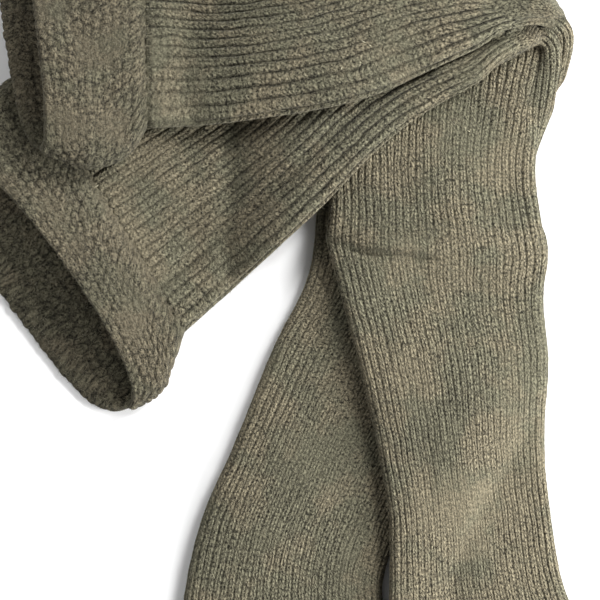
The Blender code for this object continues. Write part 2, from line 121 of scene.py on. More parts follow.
INNER_LOWER = (
    ("toe tip", 246.7, -333, 50, 24, 4.5),
    ("toe curve", 242.5, -329.4, 50, 50, 6.8, 0.4),
    ("toe side", 234.8, -323, 50, 72, 8.2, 1),
    ("toe base", 223.3, -313.4, 50, 84, 8.8, 1.5),
    ("ball", 185.8, -281.9, 50, 89, 8.8, 1.5),
    ("arch", 149, -251, 48, 91, 8.8, 1.5),
    ("sole of heel", 124, -232.5, 36, 102, 8.8, 1.8),
    ("heel", 102.5, -211, 22, 112, 8.8, 2.2),
    ("back of heel", 96.5, -190, 10, 110, 8.8, 2.2),
    ("above heel", 92.5, -170.5, 5, 99, 8.8, 1.8),
    ("low ankle", 88.5, -149, 2, 88.5, 8.8, 1.5),
    ("ankle", 84, -104, 2, 80, 8.8, 1.5),
    ("low calf", 80.5, -76, 1.5, 82, 8.8, 1.5),
    ("calf", 76, -31, -1.5, 94, 8.8, 1.5),
    ("below slack fold", 69, 10, -4, 103, 8.8, 1.8),
    ("slack fold", 68, 25, -4, 109, 8.8, 6),
    ("above slack fold", 67, 40, -3, 105, 8.8, 3),
    ("knee", 65.5, 64, -3, 101.5, 8.8, 1),
    ("above knee", 68.5, 107, -13, 107, 8.8, 0.5),
    ("fold", 76.2, 148.9, -29.2, 112.4, 8.8),
)
INNER_UPPER = (
    ("fold", 71, 151.8, -29.2, 112.4, 8.8, 0, 2.5),
    ("over the knee", 23, 135, -47, 115, 8.8, 1.2, 0.5),
    ("thigh", -37, 88.5, -50, 127, 8.8, 1.8),
    ("cuff seam", -96.5, 48.5, -59, 150, 9.2, 2.5, 2.6),
)
# The cuffs carry on from the cuff seams. shear sets the upper lip back from the lower one.
CUFF_COLUMNS = COLUMNS + ("shear",)
OUTER_CUFF = (
    OUTER_UPPER[-1],
    ("shoulder", -86.5, 152.8, -88, 157, 9.4, 5, 2.6, 2),
    ("band", -104, 150.5, -86, 167, 9.6, 8, 2.6, 6),
    ("lip", -141.5, 153.8, -80, 162, 9.6, 11, 2.6, 18),
)
INNER_CUFF = (
    INNER_UPPER[-1],
    ("shoulder", -102.5, 40.9, -60, 157, 9.4, 5, 2.6, 5),
    ("band", -113, 28.2, -57, 165, 9.6, 9, 2.6, 14),
    ("lip", -135, 13.3, -53, 167, 9.6, 14, 2.6, 36),
)


def columns(table, names=COLUMNS):
    """The table as one array for each named column, and the distance of each row along the sock."""
    full = [row + (0,) * (len(names) - len(row)) for row in table]
    found = {name: np.array([row[i] for row in full], float)
             for i, name in enumerate(names) if name != "place"}
    steps = np.hypot(np.diff(found["x"]), np.diff(found["y"]))
    found["along"] = np.concatenate(([0.0], np.cumsum(steps)))
    return found


def smooth(rows, name, at):
    """A cubic through one column: each row's slope is the average of its neighbours'."""
    knots, values = rows["along"], rows[name]
    slopes = np.gradient(values, knots)
    i = np.clip(np.searchsorted(knots, at, side="right") - 1, 0, len(knots) - 2)
    span = knots[i + 1] - knots[i]
    u = (at - knots[i]) / span
    start = (1 + 2 * u) * (1 - u) ** 2 * values[i] + u * (1 - u) ** 2 * span * slopes[i]
    end = u * u * (3 - 2 * u) * values[i + 1] + u * u * (u - 1) * span * slopes[i + 1]
    return start + end


def smoothstep(low, high, value):
    """0 below low, 1 above high and 3u^2 - 2u^3 between, with u the share of the way."""
    u = np.clip((value - low) / (high - low), 0.0, 1.0)
    return u * u * (3 - 2 * u)


# %% [markdown]
# ## Unevenness
#
# Nothing in a worn knit is even. Ribs wander, stitches differ and the cloth has soft hollows. All of
# it comes from one kind of noise: random numbers on a square grid, blended smoothly between the grid
# points. Each use has its own seed, so that every run gives the same socks.

# %% Smooth noise
NOISE_CELLS = 64


def noise(seed, u, v):
    """Random values from -1 to 1 at whole u and v, blended between them with smoothstep."""
    values = np.random.default_rng(seed).uniform(-1, 1, (NOISE_CELLS, NOISE_CELLS))
    u, v = np.broadcast_arrays(u, v)
    i, j = np.floor(u).astype(int), np.floor(v).astype(int)
    a, b = smoothstep(0, 1, u - i), smoothstep(0, 1, v - j)
    i, j, k, m = i % NOISE_CELLS, j % NOISE_CELLS, (i + 1) % NOISE_CELLS, (j + 1) % NOISE_CELLS
    near = values[i, j] * (1 - a) + values[k, j] * a
    far = values[i, m] * (1 - a) + values[k, m] * a
    return near * (1 - b) + far * b


# The largest creases, listed one by one: a soft ridge, or a trough where the height is negative, along
# a line from one point of the table top to another. Columns: x and y of both ends, width, height.
CREASES = {
    "outer_lower": (
        (-2, -2, 34, -64, 5, -0.7), (-30, -110, 6, -132, 6, 0.8), (-40, -160, 20, -168, 5, -0.9),
        (-44, -196, 14, -190, 6, 0.9), (30, -240, 62, -290, 7, -0.8),
    ),
    "outer_upper": (
        (-62, 80, -62, 190, 14, 2.2), (-60, 108, 30, 116, 6, 0.5), (-40, 124, 80, 143, 5, -0.6),
        (-20, 180, 70, 190, 8, -0.7),
    ),
    "inner_lower": (
        (10, 30, 44, 20, 1.9, -1.8), (22, 24.6, 72, 19.2, 1.9, -1.9),
        (46, 18.9, 92, 24.8, 2.1, -1.5), (71, 21.4, 92, 27.5, 2.2, -0.9),
        (13, 32, 66, 24, 3.4, 1.7), (58, 24, 118, 32, 4, 1.2), (20, 12, 110, 14, 7, -0.9),
        (40, 37, 96, 44, 4, -1), (62, 70, 86, 30, 7, 0.8), (36, 72, 60, 38, 6, -0.7),
        (82, -70, 88, -150, 9, 1), (60, -60, 66, -120, 6, -0.6), (56, -168, 120, -176, 5, -0.9),
        (60, -186, 130, -190, 6, 0.9),
    ),
    "inner_upper": (
        (-42, 4, -42, 96, 8.5, 2.3), (-64, 34, 20, 104, 3.2, -1.2),
        (-10, 104, 78, 138, 3.4, -1.2), (-90, 70, -20, 112, 6, 0.7),
    ),
}
WAVES = ((0.35, 26.0), (0.18, 10.0))         # height and length of the cloth's small unevenness
WAVE_SEED = 11
CREASE_END = 0.02            # a crease's sine curve stops this share of its length before zero
CREASE_TAPER = 0.75          # power that keeps its height over most of its length


def creases(stretch, x, y):
    """Height that the creases and the unevenness add: for each crease its height times a bell
    curve of the distance from its line, times a sine curve along the line."""
    added = sum(size * noise(seed, x / length, y / length)
                for seed, (size, length) in enumerate(WAVES, WAVE_SEED))
    for x0, y0, x1, y1, width, height in CREASES.get(stretch, ()):
        length = np.hypot(x1 - x0, y1 - y0)
        dx, dy = (x1 - x0) / length, (y1 - y0) / length
        along = np.clip((x - x0) * dx + (y - y0) * dy, 0, length)
        away = np.hypot(x - x0 - along * dx, y - y0 - along * dy)
        share = np.clip(along / length, CREASE_END, 1 - CREASE_END)
        taper = np.sin(np.pi * share) ** CREASE_TAPER
        added = added + height * taper * np.exp(-((away / width) ** 2))
    return added


# %% [markdown]
# ## The section of a flattened tube
#
# A sock laid flat has two level faces joined by rounded sides. Its section is worked out from one
# number q, the share of the way round, so that a rib keeps its place all the way along the sock.
# Ribs are pushed out along the section's normal, and fade on the face that is pressed on the table.

# %% Section
RIB_FADE = (-0.95, -0.3)     # upward part of the normal where the ribs begin and where they are full
LEG_CREASE_RIB = 5.5         # the inner sock's long crease, in ribs from its front edge
LEG_CREASE_WIDE = 0.8
LEG_CREASE_DEPTH = 1.4
LEG_CREASE_RUN = 40.0        # from the fold to where it has that depth


def stadium(q, half_width, half_thick):
    """Sideways place, height and outward normal at q: 0 is the left side, then the upper face, 0.5
    the right side, and back under the lower face."""
    quarter = 0.5 * np.pi * half_thick
    level = 2 * (half_width - half_thick)
    half = 2 * quarter + level
    face = np.where(q < 0.5, 1.0, -1.0)
    run = np.where(q < 0.5, q, 1.0 - q) * 2 * half
    left = np.clip(run / half_thick, 0, np.pi / 2)
    right = np.clip((half - run) / half_thick, 0, np.pi / 2)
    sideways = -half_width + half_thick * (1 - np.cos(left)) + np.clip(run - quarter, 0, level)
    sideways += half_thick * np.cos(right)
    rise = np.minimum(np.sin(left), np.sin(right))
    return sideways, face * half_thick * rise, np.cos(right) - np.cos(left), face * rise


def section(rows, at, q, up, inset=0.0, relief=0.0, most_puff=np.inf, long_crease=0.0, both=0.0):
    """Sideways place and height of the section's points, and how much they face up.

    up is 1 where the upper face of the cloth is on top and -1 where it has been folded under.
    both is how much the ribs also stand on the face that doesn't show."""
    half_width = 0.5 * smooth(rows, "width", at) - inset
    half_thick = 0.5 * smooth(rows, "thick", at) - inset
    puff = np.minimum(smooth(rows, "puff", at), most_puff)
    sideways, height, out_side, out_up = stadium(q, half_width, half_thick)
    on_top = np.clip(up * out_up, 0, 1)
    height = height + up * puff * on_top * (1 - np.clip(sideways / half_width, -1, 1) ** 2)
    ribs_in = ((q - 0.5) if up < 0 else (0.5 - q)) * RIBS
    bell = np.exp(-(((ribs_in - LEG_CREASE_RIB) / LEG_CREASE_WIDE) ** 2))
    height = height - up * on_top * long_crease * LEG_CREASE_DEPTH * bell
    stands = smoothstep(*RIB_FADE, up * out_up)
    relief = relief * np.maximum(stands, both * smoothstep(*RIB_FADE, -up * out_up))
    return sideways + relief * out_side, height + relief * out_up, on_top


def plan(rows, at, sideways):
    """Table-top place of points this far from the sock's middle line."""
    turn = np.radians(smooth(rows, "across", at))
    x = smooth(rows, "x", at) + np.cos(turn) * sideways
    return x, smooth(rows, "y", at) + np.sin(turn) * sideways


# %% [markdown]
# ## Laying cloth on cloth
#
# Cloth simulation could drape the pile, but four thick layers that press on each other take long to
# settle and never land twice in the same place. A height map of the table top does it directly: each
# layer that is laid raises the map, and the next one rests on a softened copy of it, because thick
# knitting can't follow a sharp edge.

# %% Height map
CELL = 2.0
MAP_LOW = np.array((-260.0, -430.0))
MAP_HIGH = np.array((300.0, 290.0))


class Pile:
    """A height map of the cloth that has been laid down so far."""

    def __init__(self):
        across, deep = np.ceil((MAP_HIGH - MAP_LOW) / CELL).astype(int)
        self.height = np.zeros((across, deep))

    def cells(self, x, y):
        """The places counted in cells from the map's corner, held inside the map."""
        last = np.array(self.height.shape) - 1.001
        return (np.clip((x - MAP_LOW[0]) / CELL, 0, last[0]),
                np.clip((y - MAP_LOW[1]) / CELL, 0, last[1]))

    def lay(self, points):
        """Raises the map to these points."""
        i, j = (np.round(c).astype(int).ravel() for c in self.cells(points[..., 0], points[..., 1]))
        np.maximum.at(self.height, (i, j), points[..., 2].ravel())

    def rest(self):
        """The surface that thick cloth takes on the pile: each point of the pile holds up a shallow
        dome of cloth, and the domes' upper envelope is softened."""
        soft = self.height.copy()
        reach = int(np.sqrt(2 * DRAPE_RADIUS * soft.max()) / CELL) + 1
        for axis in (0, 1):
            best = soft.copy()
            for shift in range(-reach, reach + 1):
                fall = (shift * CELL) ** 2 / (2 * DRAPE_RADIUS)
                best = np.maximum(best, np.roll(soft, shift, axis) - fall)
            soft = best
        for axis in (0, 1):
            soft = (np.roll(soft, 1, axis) + np.roll(soft, -1, axis) + 2 * soft) / 4
        return soft + LAYER_GAP * np.clip(soft / GAP_FROM, 0, 1)

    def read(self, surface, x, y):
        """The surface's height at these places, blended between its cells."""
        x, y = self.cells(x, y)
        i, j = x.astype(int), y.astype(int)
        u, v = x - i, y - j
        low = surface[i, j] * (1 - v) + surface[i, j + 1] * v
        high = surface[i + 1, j] * (1 - v) + surface[i + 1, j + 1] * v
        return low * (1 - u) + high * u


# %% [markdown]
# ## A sock: lower stretch, fold, upper stretch, cuff
#
# The lower stretch lies with its upper face up. At the fold each point goes round half an ellipse,
# and after it the same face lies underneath. The cuff is a thick band whose wall is followed all the
# way round: out along its knobbly face, over the lip and back inside, where the same knit shows in
# the mouth.

# %% Sock
FOLD_REACH = 7.4             # how far the middle of the cloth swings out past the fold line
FOLD_REACH_AT_SIDES = 4.0
FOLD_PINCH = 0.05            # how much the sides are pulled together in the turn
RIDGE_FADE = (-0.6, 0.2)     # as RIB_FADE, for the cuff's knobs
UPPER_LIP_POWER = 2          # how round the lips' outlines are: a higher power is squarer
LOWER_LIP_POWER = 6
LOWER_SAMPLES = (700, 400)   # points that raise the height map, along and round each stretch
UPPER_SAMPLES = (400, 500)
FOLD_SAMPLES = 30
CUFF_SAMPLES = 100


def samples(rows, along, around):
    """Even places along a stretch, as a column, and round it."""
    return np.linspace(0, rows["along"][-1], along)[:, None], np.linspace(0, 1, around, endpoint=False)


class Sock:
    """One sock, and the surfaces that its two stretches rest on."""

    def __init__(self, name, seed, lower, upper, cuff, creased):
        self.name, self.seed = name, seed
        self.lower, self.upper = columns(lower), columns(upper)
        self.cuff = columns(cuff, CUFF_COLUMNS)
        self.creased = creased

    def level(self, pile, surface, rows, at, x, y):
        """Height of the middle of the cloth, resting on the surface."""
        lift = np.maximum(smooth(rows, "lift", at), 0)
        return pile.read(surface, x, y) + lift + 0.5 * smooth(rows, "thick", at)

    def stretch(self, pile, part, at, q, **shape):
        """Points of a stretch that lies flat, with its creases, (sections, points, 3)."""
        rows, up = getattr(self, part), 1 if part == "lower" else -1
        surface = self.lower_rest if up > 0 else self.upper_rest
        crease_run = smoothstep(0, LEG_CREASE_RUN, at) * self.creased if up < 0 else 0.0
        sideways, height, on_top = section(rows, at, q, up, long_crease=crease_run, **shape)
        x, y = plan(rows, at, sideways)
        z = self.level(pile, surface, rows, at, x, y) + up * height
        if "inset" not in shape:
            z = z + on_top * creases(f"{self.name}_{part}", x, y)
        return np.stack([x, y, z], -1)

    def fold(self, pile, turns, q, **shape):
        """Points of the cloth in the turn: each swings out past the fold line and rises from the
        lower cloth's level to the upper cloth's along half an ellipse, while it drifts along the
        fold line, because the ribs meet that line at a slant."""
        end, start = self.lower["along"][-1:, None], self.upper["along"][:1, None]
        turns = turns[:, None]
        both = 0.5 + 0.5 * np.cos(turns)
        sideways, height, _ = section(self.lower, end, q, -1, both=both, **shape)
        x, y = plan(self.lower, end, sideways * (1 - FOLD_PINCH * np.sin(turns)))
        x = x + (self.upper["x"][0] - self.lower["x"][-1]) * turns / np.pi
        y = y + (self.upper["y"][0] - self.lower["y"][-1]) * turns / np.pi
        low = self.level(pile, self.lower_rest, self.lower, end, x, y)
        high = self.level(pile, self.upper_rest, self.upper, start, x, y)
        share = np.clip(np.abs(sideways) / (0.5 * self.lower["width"][-1]), 0, 1)
        swing = FOLD_REACH_AT_SIDES + (FOLD_REACH - FOLD_REACH_AT_SIDES) * np.sqrt(1 - share**3)
        turn = np.radians(self.lower["across"][-1])
        out = (swing - height) * np.sin(turns)
        z = 0.5 * (low + high) - (0.5 * (high - low) - height) * np.cos(turns)
        return np.stack([x - np.sin(turn) * out, y + np.cos(turn) * out, z], -1)

    def wall(self, pile, at, outside, q, knobs=0.0):
        """Points of the cuff this far from its seam and this far outside its lining. knobs is what
        the knit adds along the section's normal; the flattened underside does without."""
        rows = self.cuff
        half_width, half_thick = 0.5 * smooth(rows, "width", at), 0.5 * smooth(rows, "thick", at)
        inset = LEG_WALL - outside
        _, _, _, face = stadium(q, half_width, half_thick)
        knobs = knobs * np.maximum(smoothstep(*RIDGE_FADE, -face), outside < CUFF_WALL / 2)
        _, _, out_side, out_up = stadium(q, half_width - inset, half_thick - inset)
        sideways, height, _ = section(rows, at, q, -1, inset=inset)
        sideways, height = sideways + knobs * out_side, height + knobs * out_up
        x, y = plan(rows, at, sideways)
        turn = np.radians(smooth(rows, "across", at))
        share = np.clip(np.abs(sideways) / half_width, 0, 1)
        tip = np.clip(height / half_thick, -1, 1)
        tip = tip * np.sqrt(1 - share ** np.where(tip < 0, UPPER_LIP_POWER, LOWER_LIP_POWER))
        ahead = 0.5 * smooth(rows, "shear", at) * tip
        z = self.level(pile, self.upper_rest, rows, at, x, y) - height
        return np.stack([x + np.sin(turn) * ahead, y - np.cos(turn) * ahead, z], -1)

    def lay_lower(self, pile):
        """Rests the foot and calf on the pile."""
        self.lower_rest = pile.rest() if pile.height.any() else pile.height.copy()
        pile.lay(self.stretch(pile, "lower", *samples(self.lower, *LOWER_SAMPLES), relief=CREST))

    def lay_upper(self, pile):
        """Folds the thigh and the cuff over on to the pile."""
        self.upper_rest = pile.rest()
        at, q = samples(self.upper, *UPPER_SAMPLES)
        pile.lay(self.stretch(pile, "upper", at, q, relief=CREST))
        pile.lay(self.fold(pile, np.linspace(0, np.pi, FOLD_SAMPLES), q, relief=CREST))
        at, q = samples(self.cuff, CUFF_SAMPLES, UPPER_SAMPLES[1])
        pile.lay(self.wall(pile, at, CUFF_WALL, q, knobs=RIDGE_DEPTH / 2))


pile = Pile()
outer = Sock("outer", 100, OUTER_LOWER, OUTER_UPPER, OUTER_CUFF, creased=0.0)
inner = Sock("inner", 200, INNER_LOWER, INNER_UPPER, INNER_CUFF, creased=1.0)
outer.lay_lower(pile)
inner.lay_lower(pile)
inner.lay_upper(pile)
outer.lay_upper(pile)
print("the pile is", pile.height.max().round(1), "mm high")

# %% [markdown]
# ## Ribs
#
# A one-by-one rib shows columns of round knit stitches with a narrow, deep groove between them,
# where the purl stitches hide. So a rib's profile is half an ellipse, not a sine wave. The ribs
# wander a little, some stand higher than others, and near the upper cloth's front edge they spread.

# %% Rib relief
# Where the nap has felted, in millimetres on the table top: place, radius and amount.
FELTED = {
    "outer_upper": ((-72, 122, 8, 0.6), (-70, 90, 7, 0.5), (-10, 140, 22, 0.3)),
    "inner_upper": ((-92, 56, 10, 0.7), (-66, 8, 9, 0.8), (-30, 70, 12, 0.3)),
    "inner_lower": ((86, -124, 11, 0.9), (73, -66, 10, 0.6), (90, 14, 16, 0.5),
                    (58, 30, 10, 0.4), (80, -95, 12, 0.5)),
    "outer_lower": ((0, -70, 12, 0.5), (-20, -120, 10, 0.6)),
}
FELT_FILLS = 0.75            # share of a groove's depth, and of its painted shade, that full felting fills
FELT_PATCH = (8.0, 30.0)     # size of the patches felted by chance, in ribs and in millimetres
FELT_RANGE = (0.1, 0.8)      # noise where a patch begins and where it is most felted
FELT_MOST = 0.6
RIB_STATIONS = np.array((0.0, 0.035, 0.1, 0.2, 0.34, 0.5, 0.66, 0.8, 0.9, 0.965))
SIDE_RIBS_BELOW = 1.0        # ribs carried round each side past the face that shows
FOLD_RIBS_BELOW = 4.0        # and near the fold
UNDERSIDE_POINTS = 26
RIB_WANDER = (0.16, 9.0)     # how far a rib strays, in ribs, and over what length
GROOVE_UNEVEN = ((0.45, 1.5, 7.0), (0.25, 7.0, 45.0))  # share of a groove's depth, ribs and length
SWELL = 0.14                 # unevenness of the stitches on a crest
CREST_ROUND = 0.98           # 1 would make a groove's walls upright
GROOVE_DEPTH = {"lower": 1.05, "upper": 1.75}
GROOVE_LEFT = {"lower": 0.45, "upper": 0.95}  # share of that depth away from the sides
GROOVE_FULL_SHADE = 1.4         # depth at which a groove takes its full painted shade
SIDE_RIBS = 6.0              # ribs over which it falls to that share
SPREAD = {"outer": 0.75, "inner": 0.25}      # how much wider the ribs at the front edge are
SPREAD_REACH = 4.0           # in ribs
SPREAD_RUN = 70.0            # from the fold to where they are spread the most


def rib_places(up, below=SIDE_RIBS_BELOW):
    """Places round the sock, in shares of all its ribs: stations across each rib of the face that
    shows and of the ribs just below its sides, and a few under it."""
    first = 0.0 if up > 0 else 0.5
    shown = (np.arange(RIBS)[:, None] + RIB_STATIONS[None, :] + 0.5).ravel() / RIBS % 1.0
    extra = below / RIBS
    shown = shown[(shown - first + extra + 1e-9) % 1.0 <= 0.5 + 2 * extra + 2e-9]
    start = first + 0.5 + extra
    under = start + (0.5 - 2 * extra) * np.arange(1, UNDERSIDE_POINTS) / UNDERSIDE_POINTS
    return np.sort(np.concatenate([shown, under % 1.0]))


def felting(stretch, seed, t, run, x, y):
    """How felted the knit is, 0 to 1: bells round the felted places, and patches of noise."""
    patches = noise(seed + 4, t * RIBS / FELT_PATCH[0], run / FELT_PATCH[1])
    felt = FELT_MOST * smoothstep(*FELT_RANGE, patches)
    for px, py, radius, amount in FELTED.get(stretch, ()):
        felt = felt + amount * np.exp(-((x - px) ** 2 + (y - py) ** 2) / radius**2)
    return np.clip(felt, 0, 1)


def knit(seed, t, run, spread, depth, left):
    """Place round the section, swell, groove depth and painted groove shade of the ribs at the share t
    of all ribs.

    spread widens the ribs near the front edge with a tanh curve, whose slope is its bell. A rib
    rises from its groove as half an ellipse: depth times the root of 1 - (2 phase)^2. The
    grooves are deepest near the sides of the tube, where left is 1, and fall to left."""
    rib = t * RIBS
    number = np.round(rib)
    phase = (rib + 0.5) % 1.0 - 0.5
    from_edge = rib - 0.5 * RIBS
    q = t + spread * SPREAD_REACH / RIBS * (np.tanh(from_edge / SPREAD_REACH) - 2 * (t - 0.5))
    q = q + RIB_WANDER[0] / RIBS * noise(seed, rib, run / RIB_WANDER[1])
    from_side = np.abs((2 * t + 0.5) % 1.0 - 0.5) / 2 * RIBS
    strength = left + (1 - left) * np.exp(-((from_side / SIDE_RIBS) ** 2))
    for k, (share, ribs, length) in enumerate(GROOVE_UNEVEN, 1):
        strength = strength * (1 + share * noise(seed + k, number / ribs, run / length))
    arch = np.sqrt(np.clip(1 - CREST_ROUND * (2 * phase) ** 2, 0, 1))
    swell = SWELL * noise(seed + 3, number, run / (2 * STITCH)) * arch
    # painted shade: the deeper a groove, the darker its colour is painted, as little light gets in
    groove = (1 - arch) * strength * (depth / GROOVE_FULL_SHADE)
    return q % 1.0, swell, depth * strength * (1 - arch), np.clip(groove, 0, 1)


print("a leg has", len(rib_places(1)), "points round its fine outer face")

# %% [markdown]
# ## Skins
#
# Rings of points become one closed mesh. Two rings may have different numbers of points, so they are
# zipped: the points of both are taken in order round the tube, and each step makes one triangle. The
# UV map counts ribs across and stitches along, so that the yarn's pattern follows the knitting.

# %% Zipped skins


def as_rings(points, t, *values):
    """A list of rings. Each has its points, their places round the tube, and their u, v, painted
    groove shade and felt."""
    values = (np.broadcast_to(value, points.shape[:2]) for value in values)
    return list(zip(points, [t] * len(points), *values))


def zip_rings(a, b):
    """Triangles between two rings, from the sorted places of their points round the tube. A step
    along one ring is joined to the point that the other ring has reached by then."""
    next_a, next_b = np.append(a[1:], 1 + a[0]), np.append(b[1:], 1 + b[0])
    i, j = np.arange(len(a)), np.arange(len(b))
    reached_b = np.searchsorted(next_b, next_a, side="left") % len(b)
    reached_a = np.searchsorted(next_a, next_b, side="right") % len(a)
    on_a = np.stack([i, (i + 1) % len(a), len(a) + reached_b], 1)
    on_b = np.stack([reached_a, len(a) + (j + 1) % len(b), len(a) + j], 1)
    return np.concatenate([on_a, on_b])


def skin(name, rings, turns_of_u, closed):
    """One closed mesh through the rings. The first and last are joined if closed is set, and
    otherwise capped with a fan of triangles."""
    points, _, u, v, groove, felt = (np.concatenate(column) for column in zip(*rings))
    sizes = np.array([len(ring[1]) for ring in rings])
    starts = np.concatenate(([0], np.cumsum(sizes)))
    pairs = [(k, k + 1) for k in range(len(rings) - 1)] + ([(len(rings) - 1, 0)] if closed else [])
    faces = []
    for a, b in pairs:
        zipped = zip_rings(rings[a][1], rings[b][1])
        faces.append(np.where(zipped < sizes[a], zipped + starts[a], zipped - sizes[a] + starts[b]))
    if not closed:
        for middle, k in ((len(points), 0), (len(points) + 1, len(rings) - 1)):
            i = starts[k] + np.arange(sizes[k])
            j = starts[k] + (np.arange(sizes[k]) + 1) % sizes[k]
            one, two = (j, i) if k == 0 else (i, j)
            faces.append(np.stack([np.full(sizes[k], middle), one, two], 1))
        ends = [slice(starts[k], starts[k + 1]) for k in (0, len(rings) - 1)]
        points = np.concatenate([points, [points[e].mean(0) for e in ends]])
        u, v, groove, felt = (np.concatenate([c, [c[e].mean() for e in ends]])
                              for c in (u, v, groove, felt))
    faces = np.concatenate(faces)
    corner_u = u[faces]
    corner_u = corner_u + turns_of_u * (corner_u < corner_u.max(1, keepdims=True) - turns_of_u / 2)
    corner_v = v[faces]
    return surface(name, points, faces, np.stack([corner_u, corner_v], -1), groove=groove, felt=felt)


def surface(name, points, faces, corners=None, **masks):
    """A mesh object from triangles and millimetre points, with the UV of each corner and masks."""
    mesh = bpy.data.meshes.new(name)
    mesh.vertices.add(len(points))
    mesh.vertices.foreach_set("co", (points * MM).astype(np.float32).ravel())
    mesh.loops.add(faces.size)
    mesh.loops.foreach_set("vertex_index", faces.astype(np.int32).ravel())
    mesh.polygons.add(len(faces))
    mesh.polygons.foreach_set("loop_start", np.arange(0, faces.size, faces.shape[1], dtype=np.int32))
    if corners is not None:
        mesh.uv_layers.new(name="knit").data.foreach_set("uv", corners.astype(np.float32).ravel())
    for mask, values in masks.items():
        mesh.attributes.new(mask, "FLOAT", "POINT").data.foreach_set("value", values.astype(np.float32))
    mesh.update(calc_edges=True)
    mesh.validate()
    mesh.shade_smooth()
    piece = bpy.data.objects.new(name, mesh)
    bpy.context.scene.collection.objects.link(piece)
    print(name, "has", len(faces), "faces")
    return piece


# %% [markdown]
# ## The legs
#
# The outer face of each leg has ten points across every rib of the face that shows. The inside is
# only seen through a mouth, so it is plain and coarse. The legs end at the cuff seams.

# %% Legs
RING_STEP = 3.2
FOLD_RINGS = 16
FOLD_RUN = np.pi * 0.5 * (FOLD_REACH + 10)   # length of the cloth in the turn
SHARP_CREASE = {"inner": 22.0}               # how far up the table its sharpest crease lies
CLOSER = 2.2                 # how much denser the rings are there
CLOSER_REACH = 7.0
NEAR_FOLD = 60.0             # from the fold to where the grooves are only deep at the sides
CORNER_RINGS = 18            # rings on each side of the fold with fine ribs under the sides too
# Middle of the cord that the tube's rounded side makes at the corner of the fold: x and y on the
# table top, from the lower cloth over the turn to the upper cloth.
CORNERS = {
    "outer": ((121.8, 94), (126.2, 106), (129.2, 117), (131, 125.3), (131, 131), (128.2, 135.4),
              (123, 138.6), (115.5, 139.6), (107.5, 138.4), (99, 136), (90, 133), (81, 129)),
    "inner": ((116.5, 75), (119.5, 90), (123, 108), (124.3, 118.8), (123.6, 125.6), (120.6, 129.2),
              (115, 129.8), (106, 126.2), (97.5, 121.8), (87.5, 115), (77.5, 108)),
}
CORNER_ENDS = (0.0, 0.98)    # shares of the cord's length between which it shows
CORNER_LOOK = 0.5            # how far ahead its direction is read
CORNER_PITCH = 3.3           # between ribs on the cord
CORNER_FADE = (13.0, 6.5)    # distance from the top of the cord where it ends and where it is full
CORNER_WIDER = 10.0          # how much later it ends on the upper cloth's face
CORNER_JOIN = 0.22           # share of its length over which it grows out of the rest
ROLL = (0.3, 2.0)            # rib on top of the cord, below the corner and after it
# Shares of the cord's length over which the rib on top changes, the upper cloth's face uncurls, the
# side curls up, the cord rises and its wider end begins.
ROLL_TURNS, FACE_UNCURLS, SIDE_CURLS = (0.1, 0.9), (1.0, 0.6), (0.2, 0.6)
CORD_RISES, CORD_WIDENS = (0.2, 0.85), (0.58, 0.8)
INNER_PAINTED_SHADE = 0.3           # painted shade on the plain inner face, given as its groove shade
INNER_FOLD_RINGS = 6
INNER_PLACES = 44
INNER_STEP = 12.0


def even_rings(length, step):
    """Places from 0 to length, about this step apart, as a column."""
    return np.linspace(0, length, int(round(length / step)) + 1)[:, None]


def closer_rings(length, step, middle):
    """As even_rings, but closer together near one place: the places are equal steps of the running
    sum of a density, which is 1 plus a bell curve."""
    fine = np.linspace(0, length, 2000)
    total = np.cumsum(1 + CLOSER * np.exp(-(((fine - middle) / CLOSER_REACH) ** 2))) * fine[1] / step
    return np.interp(np.linspace(total[0], total[-1], int(round(total[-1])) + 1), total, fine)[:, None]


def round_corner(sock, rings, heights):
    """Moves the outer rings' points near the corner of the fold on to the cord that the tube's side
    makes there.

    The ribs are counted from the one that runs along the middle of the side. One of them lies on top
    of the cord, first ROLL[0] and at last ROLL[1], and the distance a from it, round the cord, gives
    the place: across r sin(a / r) and above r cos(a / r), or a and r where the cloth is still flat.
    Blending by smoothstep curves along and across joins the cord to the rest."""
    middle = columns(CORNERS[sock.name], ("x", "y"))
    edge = np.array([points[np.argmin(np.abs(t - 0.5))] for points, t, *_ in rings])
    radius = 0.5 * sock.lower["thick"][-1]
    run = np.concatenate(([0.0], np.cumsum(np.hypot(*np.diff(edge[:, :2], axis=0).T))))

    def side(share):
        at = share * middle["along"][-1]
        place, ahead = (np.array([smooth(middle, axis, k) for axis in ("x", "y")])
                        for k in (at, at + CORNER_LOOK))
        ahead = (ahead - place) / np.hypot(*(ahead - place))
        return place, np.array((ahead[1], -ahead[0]))

    first, last = (int(np.argmin(np.hypot(*(edge[:, :2] - place - way * radius * out).T)))
                   for way, (place, out) in zip((1, -1), map(side, CORNER_ENDS)))
    print(sock.name, "corner from ring", first, "to", last)
    for k in range(first + 1, last):
        points, t, *rest = rings[k]
        share = (run[k] - run[first]) / (run[last] - run[first])
        place, out = side(share)
        top = ROLL[0] + (ROLL[1] - ROLL[0]) * smoothstep(*ROLL_TURNS, share)
        a = ((t - 0.5) * RIBS - top) * CORNER_PITCH
        bent = a / radius
        height = radius + heights[k]
        curl = np.where(a > 0, smoothstep(*FACE_UNCURLS, share), smoothstep(*SIDE_CURLS, share))
        across = curl * height * np.sin(bent) + (1 - curl) * a
        above = curl * height * np.cos(bent) + (1 - curl) * height
        rise = edge[first, 2] + (edge[last, 2] - edge[first, 2]) * smoothstep(*CORD_RISES, share)
        cord = np.stack([place[0] + out[0] * across, place[1] + out[1] * across, rise + above], 1)
        wider = CORNER_WIDER * smoothstep(*CORD_WIDENS, share) * (a > 0)
        blend = smoothstep(0, CORNER_JOIN, share) * smoothstep(1, 1 - CORNER_JOIN, share)
        blend = blend * smoothstep(CORNER_FADE[0] + wider, CORNER_FADE[1], np.abs(a))
        rings[k] = (points + blend[:, None] * (cord - points), t, *rest)
    return rings


